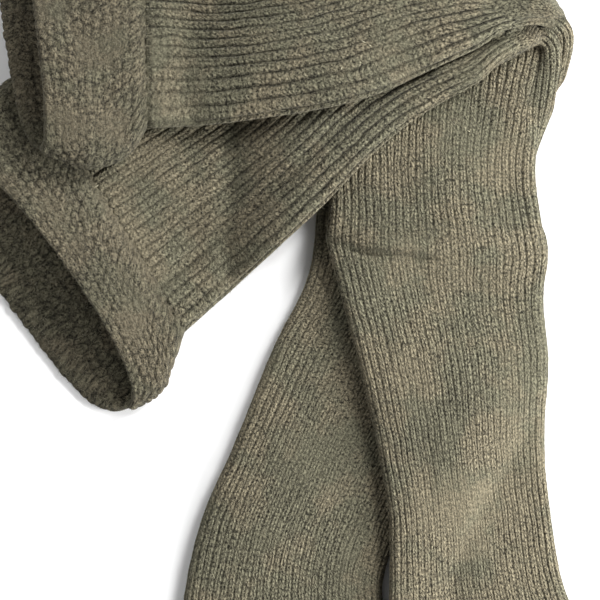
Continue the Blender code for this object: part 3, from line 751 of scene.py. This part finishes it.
def ring_places(sock, part, near):
    """Places of the rings along a stretch: those near the fold, or all the others."""
    rows = getattr(sock, part)
    length = rows["along"][-1]
    at = even_rings(length, RING_STEP)
    if part == "upper":
        return at[:CORNER_RINGS] if near else at[CORNER_RINGS:]
    if sock.name in SHARP_CREASE:
        middle = np.interp(SHARP_CREASE[sock.name], rows["y"], rows["along"])
        at = closer_rings(length, RING_STEP, middle)
    return at[-CORNER_RINGS:] if near else at[:-CORNER_RINGS]


def outer_rings(sock):
    """Rings of the leg's knitted face, from the toe to the cuff seam."""
    length = sock.lower["along"][-1]
    rings, heights = [], []
    for part, near in (("lower", False), ("lower", True), ("fold", True), ("upper", True),
                       ("upper", False)):
        t = rib_places(1 if part == "lower" else -1, FOLD_RIBS_BELOW if near else SIDE_RIBS_BELOW)
        if part == "fold":
            turns = np.pi * np.arange(1, FOLD_RINGS + 1) / (FOLD_RINGS + 1)
            run = length + FOLD_RUN * turns[:, None] / np.pi
            spread, depth, left = 0 * run, GROOVE_DEPTH["upper"], 1.0
            shape = partial(sock.fold, pile, turns)
        else:
            at = ring_places(sock, part, near)
            below = part == "lower"
            run = at if below else at + length + FOLD_RUN
            spread = 0 * at if below else SPREAD[sock.name] * smoothstep(0, SPREAD_RUN, at)
            to_fold = length - at if below else at
            depth = GROOVE_DEPTH[part]
            left = 1 - (1 - GROOVE_LEFT[part]) * smoothstep(0, NEAR_FOLD, to_fold)
            shape = partial(sock.stretch, pile, part, at)
        q, swell, low, groove = knit(sock.seed, t, run, spread, depth, left)
        x, y, _ = np.moveaxis(shape(q), -1, 0)
        felt = felting(f"{sock.name}_{part}", sock.seed, t, run, x, y)
        filled = 1 - FELT_FILLS * felt
        height = CREST + swell - low * filled
        points = shape(q, relief=height)
        # groove * filled is the painted groove shade, less where felting fills the groove
        rings += as_rings(points, t, t * RIBS, run / STITCH, groove * filled, felt)
        heights += list(height)
    return round_corner(sock, rings, heights)


def inner_rings(sock):
    """Plain rings of the leg's inner face, from the cuff seam back to the toe."""
    t = np.arange(INNER_PLACES) / INNER_PLACES
    toe, lower, upper = sock.lower["along"][2], sock.lower["along"][-1], sock.upper["along"][-1]
    most_puff = HOLLOW - (sock.lower["thick"].max() - 2 * LEG_WALL)
    turns = np.linspace(np.pi, 0, INNER_FOLD_RINGS + 2)[1:-1]
    high, low = even_rings(upper, INNER_STEP)[::-1], toe + even_rings(lower - toe, INNER_STEP)[::-1]
    opening = np.where(high == upper, np.inf, most_puff)
    points = np.concatenate([
        sock.stretch(pile, "upper", high, t, most_puff=opening, inset=LEG_WALL),
        sock.fold(pile, turns, t, inset=LEG_WALL),
        sock.stretch(pile, "lower", low, t, most_puff=most_puff, inset=LEG_WALL)])
    run = np.linspace(lower + upper + FOLD_RUN, toe, len(points))[:, None]
    # the inner face, seen only in the mouths, is painted darker as shade inside the tube
    return as_rings(points, t, t * RIBS, run / STITCH, INNER_PAINTED_SHADE, 0.0)


legs = {sock.name: skin(f"{sock.name}_leg_knit", outer_rings(sock) + inner_rings(sock), RIBS, False)
        for sock in (outer, inner)}

# %% [markdown]
# ## The cuffs
#
# The cuff is knitted coarser, in ridges that run round the mouth, and each ridge is a row of round
# knobs. They are real relief here: a knob is a small dome, the domes of one ridge are set off
# against the next, and no two are quite alike. Gaps between them are narrow, and their colour
# is painted dark as shade.

# %% Cuffs
KNOB_ROUND = 4.6             # length of a knob round the mouth
KNOB_AHEAD = 5.6             # from one ridge to the next
KNOB_HEIGHT = 1.45
KNOB_TALL = (0.6, 1.1)       # least and greatest share of that height
KNOB_SUNK = 0.6              # share of it that lies below the cuff's even face
KNOB_WIDE = 0.85             # distances round the mouth count less, so knobs are wider than long
KNOB_FALL = 1.1              # how fast a dome falls away
GAP_WIDE, GAP_DEEP = 0.4, 0.45
FIRST_RIDGE = 0.3            # share of a ridge that lies under the seam
KNOB_STRAY = 0.27            # how far a knob may lie off its place, in knobs
CUFF_ROUND_POINTS = 460
CUFF_STEP = 0.95
SEAM_LAP = 3.0               # how far the cuff's felted edge lies over the leg
SEAM_RAGGED = 1.0            # how unevenly it does
SEAM_SOFT = 8.0              # from that edge to where the cuff has its full thickness
SEAM_FELT = (7.0, 2.0, 0.7)  # where its felting ends and is full, and how much it is
CUFF_FELT = (3.5, 17.0, 0.8)  # size of the other felted patches, in knobs and length, and how much
LIP_BARE = 12.0              # length inside the lip over which felting ends
FELT_FLATTENS, FELT_LIGHTENS = 0.55, 0.6     # share of the knobs' height, and of the gaps' painted shade
LINING_PLAIN = 6.0           # plain end of the lining


def knobs(seed, around, ahead):
    """Relief and painted gap shade of the knobbly knit at a place counted in knobs and in ridges.

    Each cell of the grid holds a knob, pushed off its middle at random, every other ridge by half
    a knob more. A knob's dome falls with the square of the distance from its middle, and a groove
    runs where two knobs are almost equally near."""
    around, ahead = np.broadcast_arrays(around, ahead)
    rng = np.random.default_rng(seed)
    push = rng.uniform(-KNOB_STRAY, KNOB_STRAY, (2, NOISE_CELLS, NOISE_CELLS))
    tall = rng.uniform(*KNOB_TALL, (NOISE_CELLS, NOISE_CELLS))
    nearest, second, height = (np.full(around.shape, value) for value in (9.0, 9.0, 0.0))
    for row_step in (-1, 0, 1):
        row = np.floor(ahead) + row_step
        offset = 0.5 * (row % 2)
        for step in (-1, 0, 1):
            cell = np.floor(around - offset) + step
            i, j = (cell % NOISE_CELLS).astype(int), (row % NOISE_CELLS).astype(int)
            aside = around - offset - cell - 0.5 - push[0, i, j]
            away = np.hypot(KNOB_WIDE * aside, ahead - row - 0.5 - push[1, i, j])
            closer = away < nearest
            second = np.where(closer, nearest, np.minimum(second, away))
            height = np.where(closer, tall[i, j], height)
            nearest = np.where(closer, away, nearest)
    gap = 1 - smoothstep(0.0, GAP_WIDE, second - nearest)
    return height * np.clip(1.0 - KNOB_FALL * nearest**2, 0, 1) * (1 - GAP_DEEP * gap), gap


def cuff_rings(sock, seed):
    """Rings round the cuff's wall: out along its knobbly face, over the lip and back inside. Also
    the number of knobs round the mouth."""
    rows, half_wall = sock.cuff, CUFF_WALL / 2
    path = rows["along"][-1] - half_wall - SEAM_GAP
    round_lip = np.pi * half_wall
    whole = 2 * path + round_lip
    s = np.linspace(0, whole, int(whole / CUFF_STEP))[:, None]
    t = np.arange(CUFF_ROUND_POINTS) / CUFF_ROUND_POINTS
    turn = np.clip((s - path) / half_wall, 0, np.pi)
    on_inside = np.clip(s - path - round_lip, 0, path)
    at = SEAM_GAP + np.clip(s, 0, path) + half_wall * np.sin(turn) - on_inside
    lap = SEAM_LAP + SEAM_RAGGED * noise(seed + 7, t * NOISE_CELLS, 0 * s)
    at = at - lap * smoothstep(2 * SEAM_LAP + CUFF_PLAIN, 0, s) * (s < path)
    start = CUFF_START + (CUFF_WALL - CUFF_START) * smoothstep(0, SEAM_SOFT, s)
    outside = np.where(s < SEAM_SOFT, start, half_wall * (1 + np.cos(turn)))
    count = round(2 * rows["width"].mean() / KNOB_ROUND)
    dome, gap = knobs(seed, t * count, (s + FIRST_RIDGE * KNOB_AHEAD) / KNOB_AHEAD)
    patches = noise(seed + 6, t * count / CUFF_FELT[0], s / CUFF_FELT[1])
    felt = np.maximum(CUFF_FELT[2] * smoothstep(*FELT_RANGE, patches),
                      SEAM_FELT[2] * smoothstep(*SEAM_FELT[:2], s))
    felt = felt * smoothstep(path + LIP_BARE, path, s)
    relief = KNOB_HEIGHT * (dome - KNOB_SUNK) * smoothstep(0, CUFF_PLAIN, s)
    relief = relief * (1 - FELT_FLATTENS * felt) * smoothstep(0, LINING_PLAIN, whole - s)
    at = at + relief * np.sin(turn)
    points = sock.wall(pile, at, outside + 0 * t, t, knobs=relief * np.cos(turn))
    # painted shade in the gaps, lessened where the knit has felted
    gap = gap * (1 - FELT_LIGHTENS * felt)
    return as_rings(points, t, t * count, s / KNOB_AHEAD, gap, felt), count


cuffs = {}
for sock, seed in ((outer, 300), (inner, 400)):
    rings, count = cuff_rings(sock, seed)
    cuffs[sock.name] = skin(f"{sock.name}_cuff_knit", rings, count, closed=True)

# %% [markdown]
# ## Into the frame
#
# The tables count from the middle of the table top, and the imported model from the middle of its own
# box. The middle of all the points is moved to the middle of the solids' box, and the table top
# stays at zero.

# %% Place


def vertices(piece):
    """The piece's vertices as an array, in metres."""
    co = np.empty(len(piece.data.vertices) * 3, np.float32)
    piece.data.vertices.foreach_get("co", co)
    return co.reshape(-1, 3)


pieces = [*legs.values(), *cuffs.values()]
corners = np.array([corner for piece in pieces for corner in piece.bound_box])
shift = 0.5 * (cad_low + cad_high) - 0.5 * (corners.min(0) + corners.max(0))
shift[2] = 0.0
for piece in pieces:
    co = vertices(piece) + shift
    co[:, 2] = np.maximum(co[:, 2], 0.0)
    piece.data.vertices.foreach_set("co", co.astype(np.float32).ravel())
    piece.data.update()
print("moved by", (shift / MM).round(2), "mm")

# %% [markdown]
# ## Yarn
#
# The yarn is a heather: undyed fibres of several colours carded together. From a step away that
# reads as green-grey and brown patches, and close up as pale and dark flecks on each stitch.
# Both effects are node groups, so that legs and cuffs share them with values of their own. Where
# the nap has felted the flecks are weaker.

# %% Node helpers


class Nodes:
    """Adds nodes to one tree. A setting goes on the node, and an input is a value or a socket."""

    def __init__(self, tree):
        self.tree = tree

    def give(self, node, inputs):
        """Sets or links the node's inputs."""
        for key, value in inputs.items():
            if isinstance(value, bpy.types.NodeSocket):
                self.tree.links.new(value, node.inputs[key])
            else:
                node.inputs[key].default_value = value
        return node

    def add(self, kind, inputs=None, **settings):
        node = self.tree.nodes.new("ShaderNode" + kind)
        for name, value in settings.items():
            setattr(node, name, value)
        return self.give(node, inputs or {})

    def math(self, operation, *values):
        return self.add("Math", dict(enumerate(values)), operation=operation).outputs[0]

    def plus(self, a, b):
        return self.math("ADD", a, b)

    def minus(self, a, b):
        return self.math("SUBTRACT", a, b)

    def times(self, a, b):
        return self.math("MULTIPLY", a, b)

    def times_plus(self, a, b, c):
        return self.math("MULTIPLY_ADD", a, b, c)

    def mix(self, share, a, b, blend="MIX"):
        """The colour that is this share of the way from a to b."""
        node = self.add("Mix", data_type="RGBA", blend_type=blend)
        return self.give(node, {0: share, 6: a, 7: b}).outputs[2]

    def between(self, value, low, high, to_low=0.0, to_high=1.0):
        """to_low below low, to_high above high, and a smoothstep curve between."""
        return self.add("MapRange", {"Value": value, "From Min": low, "From Max": high,
                                     "To Min": to_low, "To Max": to_high},
                        interpolation_type="SMOOTHSTEP").outputs[0]

    def speckle(self, vector, scale, detail, rough=0.5):
        return self.add("TexNoise", {"Vector": vector, "Scale": scale, "Detail": detail,
                                     "Roughness": rough}).outputs[0]

    def specks(self, vector, layer):
        """A layer of the table SPECKS."""
        scale, detail, rough, *spans = SPECKS[layer]
        return self.between(self.speckle(vector, scale, detail, rough), *spans)

    def scaled(self, vector, x, y):
        size = self.add("CombineXYZ", {"X": x, "Y": y, "Z": 1.0}).outputs[0]
        return self.add("VectorMath", {0: vector, 1: size}, operation="MULTIPLY").outputs[0]


def node_group(name, output, kind, **inputs):
    """A shader node group with one output and named inputs of each kind: its nodes, its inputs, and
    a function that links its output."""
    tree = bpy.data.node_groups.new(name, "ShaderNodeTree")
    for input_kind, sockets in inputs.items():
        for socket in sockets:
            tree.interface.new_socket(socket, in_out="INPUT", socket_type="NodeSocket" + input_kind)
    tree.interface.new_socket(output, in_out="OUTPUT", socket_type="NodeSocket" + kind)

    def end(value):
        tree.links.new(value, tree.nodes.new("NodeGroupOutput").inputs[output])
        return tree

    return Nodes(tree), tree.nodes.new("NodeGroupInput").outputs, end


# %% Stitches and heather
LEG_PLACE = 0.22             # a stitch's two legs, this share of a rib from its middle
LEG_HALF_WIDTH = 0.2
LEG_SLANT = 1.3              # stitches that a leg would rise over a whole rib
LEG_JOG = (0.7, 2.2)         # noise scale, and how many stitches it shifts a leg
STITCH_SHADE_MEAN = 0.35              # taken off the stitches' painted shade and light, so that it doesn't brighten the yarn
FELT_CONTRAST, FELT_RELIEF = 0.55, 0.35      # what felting leaves of the pattern and the relief
DARKEST = 0.12
FIBRE_NOISE = (1100.0, 3.0, 0.65)
# Layers of specks: the noise's scale, detail and roughness, the values that it is stretched between,
# and what those become.
SPECKS = {
    "patches": (34, 3, 0.6, 0.42, 0.6, 0, 1),
    "tone": (16, 2, 0.5, 0.3, 0.7, 0.9, 1.1),
    "flecks": (1, 3, 0.65, 0.36, 0.64, -1, 1.15),
    "fine": (1000, 2, 0.6, 0.34, 0.66, -0.7, 0.8),
    # broken: noise that breaks up the painted shade in the grooves
    "broken": (1, 2, 0.5, 0.35, 0.6, 0.3, 1.1),
    "fibres": (400, 2, 0.5, 0.35, 0.65, 0, 1),
}


def stitch_legs(add, knit_place):
    """1 on the two slanting legs of each stitch and 0 between them: a bell across each leg times
    a raised cosine along it, both jogged by noise."""
    split = add.add("SeparateXYZ", {0: knit_place}).outputs
    jog = add.times(add.speckle(knit_place, LEG_JOG[0], 2.0), LEG_JOG[1])
    side = add.math("ABSOLUTE", add.minus(add.math("FRACT", add.plus(split[0], 0.5)), 0.5))
    row = add.plus(add.times_plus(side, LEG_SLANT, split[1]), jog)
    wave = add.times_plus(add.math("COSINE", add.times(row, 2 * np.pi)), 0.5, 0.5)
    away = add.math("ABSOLUTE", add.minus(side, LEG_PLACE))
    return add.times(wave, add.between(away, 0.0, LEG_HALF_WIDTH, 1.0, 0.0))


def heather_group():
    """Colour of the heather yarn, with painted shade and light. Patches mix two hues over centimetres,
    flecks mix pale and dark fibres over a stitch, the stitches' legs are painted lighter than the
    hollows between them, and the broken grooves are painted darker as shade, because little light gets
    in."""
    add, given, end = node_group(
        "heather yarn", "Color", "Color", Vector=("Object place", "Knit place"),
        Color=("Green", "Brown"), Float=("Groove", "Felt", "Flecks across", "Flecks along", "Legs",
                                         "Contrast", "Groove painted shade"))
    place, knit_place = given["Object place"], given["Knit place"]
    hue = add.mix(add.specks(place, "patches"), given["Green"], given["Brown"])
    spots = add.scaled(knit_place, given["Flecks across"], given["Flecks along"])
    flecks = add.plus(add.specks(spots, "flecks"), add.specks(place, "fine"))
    # painted shade and light: the stitches' legs, raised in the relief, are painted lighter and the
    # hollows between them darker
    legs = add.minus(stitch_legs(add, knit_place), STITCH_SHADE_MEAN)
    contrast = add.times(given["Contrast"], add.between(given["Felt"], 0, 1, 1, FELT_CONTRAST))
    shade = add.times_plus(add.times_plus(legs, given["Legs"], flecks), contrast, 1.0)
    # painted shade in the grooves and gaps, broken up by noise
    broken = add.specks(add.scaled(knit_place, 1.0, 0.5), "broken")
    dark = add.times(add.times(given["Groove"], broken), given["Groove painted shade"])
    shade = add.times(add.math("MAXIMUM", shade, DARKEST), add.minus(1.0, dark))
    shade = add.times(shade, add.specks(place, "tone"))
    grey = add.add("CombineColor", {"Red": shade, "Green": shade, "Blue": shade}).outputs[0]
    return end(add.mix(1.0, hue, grey, "MULTIPLY"))


def stitch_group():
    """Height of the knit: the legs of the stitches over a soft fibre noise."""
    add, given, end = node_group("knit stitches", "Height", "Float",
                                 Vector=("Object place", "Knit place"),
                                 Float=("Felt", "Stitch", "Fibre"))
    clear = add.between(given["Felt"], 0, 1, 1, FELT_RELIEF)
    legs = add.times(add.times(stitch_legs(add, given["Knit place"]), clear), given["Stitch"])
    fibre = add.speckle(given["Object place"], *FIBRE_NOISE)
    return end(add.times_plus(fibre, given["Fibre"], legs))


HEATHER, STITCHES = heather_group(), stitch_group()
LEG_GREEN, LEG_BROWN = (0.109, 0.103, 0.069, 1), (0.137, 0.119, 0.079, 1)
# the cuffs' colours are the legs' heather painted darker: partly the knobbly knit's own colour and
# partly painted shade
CUFF_SHADED_GREEN, CUFF_SHADED_BROWN = (0.08, 0.074, 0.049, 1), (0.094, 0.081, 0.054, 1)
BUMP_DEPTH = 0.0006          # in metres
DULL = {"Roughness": 0.92, "Specular IOR Level": 0.15, "Sheen Weight": 0.12,
        "Sheen Roughness": 0.5, "Sheen Tint": (0.8, 0.76, 0.64, 1)}


def wool(name, stitch, fibre, **values):
    """A woollen material: heather colour, with painted shade, and stitch relief feed a rough,
    softly sheened surface.
    """
    made = bpy.data.materials.new(name)
    made.use_nodes = True
    add = Nodes(made.node_tree)
    shader = made.node_tree.nodes["Principled BSDF"]
    shared = {"Object place": add.add("TexCoord").outputs["Object"],
              "Knit place": add.add("UVMap", uv_map="knit").outputs[0],
              "Felt": add.add("Attribute", attribute_name="felt").outputs["Fac"]}
    # the mask of painted shade in the ribs' grooves and the knobs' gaps
    groove = add.add("Attribute", attribute_name="groove").outputs["Fac"]
    colour = add.add("Group", node_tree=HEATHER)
    add.give(colour, {**shared, "Groove": groove, **values})
    height = add.add("Group", node_tree=STITCHES)
    add.give(height, {**shared, "Stitch": stitch, "Fibre": fibre})
    bump = add.add("Bump", {"Strength": 1.0, "Distance": BUMP_DEPTH, "Height": height.outputs[0]})
    add.give(shader, {"Base Color": colour.outputs[0], "Normal": bump.outputs[0], **DULL})
    return made


# Legs sets how strongly the stitches' painted shade and light show
leg_wool = wool("ribbed heather wool", stitch=1.0, fibre=1.0, **{
    "Green": LEG_GREEN, "Brown": LEG_BROWN, "Flecks across": 3.2, "Flecks along": 1.7,
    "Legs": 0.8, "Contrast": 0.58, "Groove painted shade": 0.78})
cuff_wool = wool("knobbly heather wool", stitch=0.0, fibre=1.5, **{
    "Green": CUFF_SHADED_GREEN, "Brown": CUFF_SHADED_BROWN, "Flecks across": 3.3, "Flecks along": 4.0,
    "Legs": 0.0, "Contrast": 0.6, "Groove painted shade": 0.66})
for knitted, made in ((legs, leg_wool), (cuffs, cuff_wool)):
    for piece in knitted.values():
        piece.data.materials.append(made)
print("two wools share", HEATHER.name, "and", STITCHES.name)

# %% [markdown]
# ## Nap
#
# Brushed wool carries a nap of loose fibres. They are real here, tens of thousands of them: thin
# closed spikes, each a triangle at its root and three long sides that meet in a tip. They grow only
# on faces that show, which are found by comparing each face with the pile's height map. A few
# pale slivers of straw lie caught in the wool, as they do in the photo.

# %% Fibres and straw
FIBRES = 43000
FIBRE_LENGTH = (1.0, 3.4)
FIBRE_ROOT = 0.055
FIBRE_RISE = (0.1, 0.65)     # how steeply fibres stand, as the sine of their angle to the cloth
SHOWN_BELOW = 2.2            # a face shows if it is no further below the top of the pile
SHOWN_TILT = -0.2            # and faces up at least this much
STRAW = {                    # place on the table top, direction in degrees, length
    "outer": ((30, 126, -28, 2.6), (20, 112, 70, 1.9), (33.5, 124, -35, 1.6)),
    "inner": ((81, 85.5, -55, 1.6), (82.6, 83.6, -30, 1.7), (-101, 56, 25, 1.8)),
}
STRAW_ROOT = 0.24
STRAW_ABOVE, STRAW_RISE = 0.1, 0.05          # how far straw lies above the pile, and its slope
ASKEW = (0.3, -0.5, 0.8)     # a direction that no fibre has
FIBRE_DARK, FIBRE_PALE = (0.13, 0.115, 0.08, 1), (0.3, 0.275, 0.2, 1)
STRAW_COLOUR = (0.75, 0.7, 0.5, 1)


def spikes(roots, ways, lengths, root_size):
    """Points and triangles of closed spikes. The root is a triangle across the spike's way."""
    across = np.cross(ways, ASKEW)
    across /= np.linalg.norm(across, axis=1, keepdims=True)
    other = np.cross(ways, across)
    angles = 2 * np.pi * np.arange(3) / 3
    ring = [roots + root_size * (np.cos(a) * across + np.sin(a) * other) for a in angles]
    points = np.stack([*ring, roots + ways * lengths], 1)
    shape = np.array(((0, 2, 1), (0, 1, 3), (1, 2, 3), (2, 0, 3)))
    faces = shape[None] + 4 * np.arange(len(roots))[:, None, None]
    return points.reshape(-1, 3), faces.reshape(-1, 3)


def shown_faces(piece):
    """Corners, normals and areas of the faces that show from above, in millimetres."""
    faces = np.empty(len(piece.data.polygons) * 3, np.int32)
    piece.data.polygons.foreach_get("vertices", faces)
    corners = ((vertices(piece) - shift) / MM)[faces.reshape(-1, 3)]
    cross = np.cross(corners[:, 1] - corners[:, 0], corners[:, 2] - corners[:, 0])
    area = np.linalg.norm(cross, axis=1) / 2 + 1e-9
    normal = cross / (2 * area[:, None])
    middle = corners.mean(1)
    top = pile.read(pile.height, middle[:, 0], middle[:, 1])
    shown = (middle[:, 2] > top - SHOWN_BELOW) & (normal[:, 2] > SHOWN_TILT)
    return corners[shown], normal[shown], area[shown]


def nap(name, seed, under):
    """One mesh of the fibres and straw on these pieces."""
    corners, normal, area = (np.concatenate(k) for k in zip(*(shown_faces(p) for p in under)))
    rng = np.random.default_rng(seed)
    chosen = rng.choice(len(area), FIBRES, p=area / area.sum())
    share = rng.dirichlet((1, 1, 1), FIBRES)
    roots = (corners[chosen] * share[..., None]).sum(1)
    up = normal[chosen]
    lean = np.cross(up, rng.normal(size=(FIBRES, 3)))
    lean /= np.linalg.norm(lean, axis=1, keepdims=True)
    rise = rng.uniform(*FIBRE_RISE, (FIBRES, 1))
    ways = up * rise + lean * np.sqrt(1 - rise**2)
    lengths = rng.uniform(*FIBRE_LENGTH, (FIBRES, 1))
    points, faces = spikes(roots, ways, lengths, FIBRE_ROOT)
    x, y, turn, length = np.array(STRAW[name]).T
    turn = np.radians(turn)
    straw_roots = np.stack([x, y, pile.read(pile.height, x, y) + STRAW_ABOVE], 1)
    straw_ways = np.stack([np.cos(turn), np.sin(turn), 0 * x + STRAW_RISE], 1)
    straw, straw_faces = spikes(straw_roots, straw_ways, length[:, None], STRAW_ROOT)
    is_straw = np.repeat((0.0, 1.0), (len(points), len(straw)))
    faces = np.concatenate([faces, straw_faces + len(points)])
    points = np.concatenate([points, straw])
    points[:, 2] = np.maximum(points[:, 2], 0.0)
    return surface(f"{name}_nap", points + shift / MM, faces, straw=is_straw)


loose = bpy.data.materials.new("loose fibres")
loose.use_nodes = True
add = Nodes(loose.node_tree)
place = add.add("TexCoord").outputs["Object"]
tint = add.mix(add.specks(place, "fibres"), FIBRE_DARK, FIBRE_PALE)
straw = add.add("Attribute", attribute_name="straw").outputs["Fac"]
colour = add.mix(straw, tint, STRAW_COLOUR)
add.give(loose.node_tree.nodes["Principled BSDF"], {"Base Color": colour, **DULL})
naps = {sock.name: nap(sock.name, sock.seed + 9, (legs[sock.name], cuffs[sock.name]))
        for sock in (outer, inner)}
for piece in naps.values():
    piece.data.materials.append(loose)

# %% [markdown]
# ## Studio
#
# The socks were photographed from straight above on white, in soft light from the upper right. The
# camera is 1.5 m up with a long lens, so that its frame is 300 mm of the table wide.

# %% Camera, floor and light
VIEW_WIDTH = 0.3
CAMERA_HEIGHT = 1.5
SENSOR = 36.0
FLOOR_REACH = 4.0
FLOOR_DROP = 0.0005          # keeps the floor clear of the cloth that lies on it
PAPER = {"Base Color": (0.9, 0.9, 0.9, 1), "Roughness": 0.9}
ROOM_LIGHT = 0.22
# Lights: direction from the middle of the view, distance, size and power.
LIGHTS = {
    "back right light": ((0.55, 0.5, 0.6), 1.6, 0.5, 31.0),
    "front right light": ((0.6, -0.6, 0.6), 1.6, 0.5, 11.5),
    "low side light": ((0.9, -0.2, 0.35), 1.1, 0.4, 18.5),
    "back left light": ((-0.6, 0.5, 0.7), 1.6, 0.6, 7.5),
}

scene = bpy.context.scene
scene.view_settings.view_transform = "Standard"
scene.view_settings.look = "None"
middle = shift.copy()

camera = bpy.data.objects.new("camera", bpy.data.cameras.new("camera"))
camera.data.sensor_width = SENSOR
camera.data.lens = SENSOR * CAMERA_HEIGHT / VIEW_WIDTH
camera.location = (middle[0], middle[1], CAMERA_HEIGHT)
camera.data.clip_end = 10.0
scene.collection.objects.link(camera)
scene.camera = camera

floor_mesh = bpy.data.meshes.new("floor")
floor_mesh.from_pydata([(x * FLOOR_REACH, y * FLOOR_REACH, 0)
                        for x, y in ((-1, -1), (1, -1), (1, 1), (-1, 1))], [], [(0, 1, 2, 3)])
floor = bpy.data.objects.new("floor", floor_mesh)
floor.location.z = -FLOOR_DROP
scene.collection.objects.link(floor)
paper = bpy.data.materials.new("white paper")
paper.use_nodes = True
Nodes(paper.node_tree).give(paper.node_tree.nodes["Principled BSDF"], PAPER)
floor_mesh.materials.append(paper)
floor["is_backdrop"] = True


def softbox(name, direction, distance, size, power):
    """A square area light that looks at the middle of the view."""
    lamp = bpy.data.lights.new(name, "AREA")
    lamp.size, lamp.energy = size, power
    made = bpy.data.objects.new(name, lamp)
    way = np.array(direction) / np.linalg.norm(direction)
    made.location = middle + way * distance
    made.rotation_mode = "QUATERNION"
    made.rotation_quaternion = Vector(way).to_track_quat("Z", "Y")
    scene.collection.objects.link(made)


for name, light in LIGHTS.items():
    softbox(name, *light)
world = bpy.data.worlds.new("soft room")
world.use_nodes = True
room = world.node_tree.nodes["Background"]
Nodes(world.node_tree).give(room, {"Color": (1, 1, 1, 1), "Strength": ROOM_LIGHT})
scene.world = world
print("the frame is", VIEW_WIDTH / MM, "mm wide, with", len(LIGHTS), "lights")

# %% [markdown]
# ## Attaching the pieces
#
# Every piece rides on the one body and stands for its solid, which is hidden. The flat
# size of a leg or a cuff is its mean girth, all round, by its length along the cloth.

# %% Attach the pieces
FOLD_CLOTH = 30.0            # length of cloth in the turn of a leg


def girth(rows):
    """Mean length round the flattened tube, in metres."""
    at = np.linspace(0, rows["along"][-1], 200)
    thick = smooth(rows, "thick", at)
    return float((np.pi * thick + 2 * (smooth(rows, "width", at) - thick)).mean()) * MM


for sock in (outer, inner):
    leg, cuff = legs[sock.name], cuffs[sock.name]
    lengths = sock.lower["along"][-1], sock.upper["along"][-1]
    leg_length = (sum(lengths) + FOLD_CLOTH) * MM
    leg_girth = (girth(sock.lower) * lengths[0] + girth(sock.upper) * lengths[1]) / sum(lengths)
    cuff_girth, cuff_length = girth(sock.cuff), sock.cuff["along"][-1] * MM
    print(sock.name, "leg", round(leg_girth, 3), "by", round(leg_length, 3), "and cuff",
          round(cuff_girth, 3), "by", round(cuff_length, 3), "metres")
    for piece, node, slot in ((leg, f"{sock.name}_sock", "ribbed_wool"),
                              (cuff, f"{sock.name}_cuff", "cuff_wool"),
                              (naps[sock.name], f"{sock.name}_sock", "ribbed_wool")):
        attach(piece, "root")
        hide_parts(node)
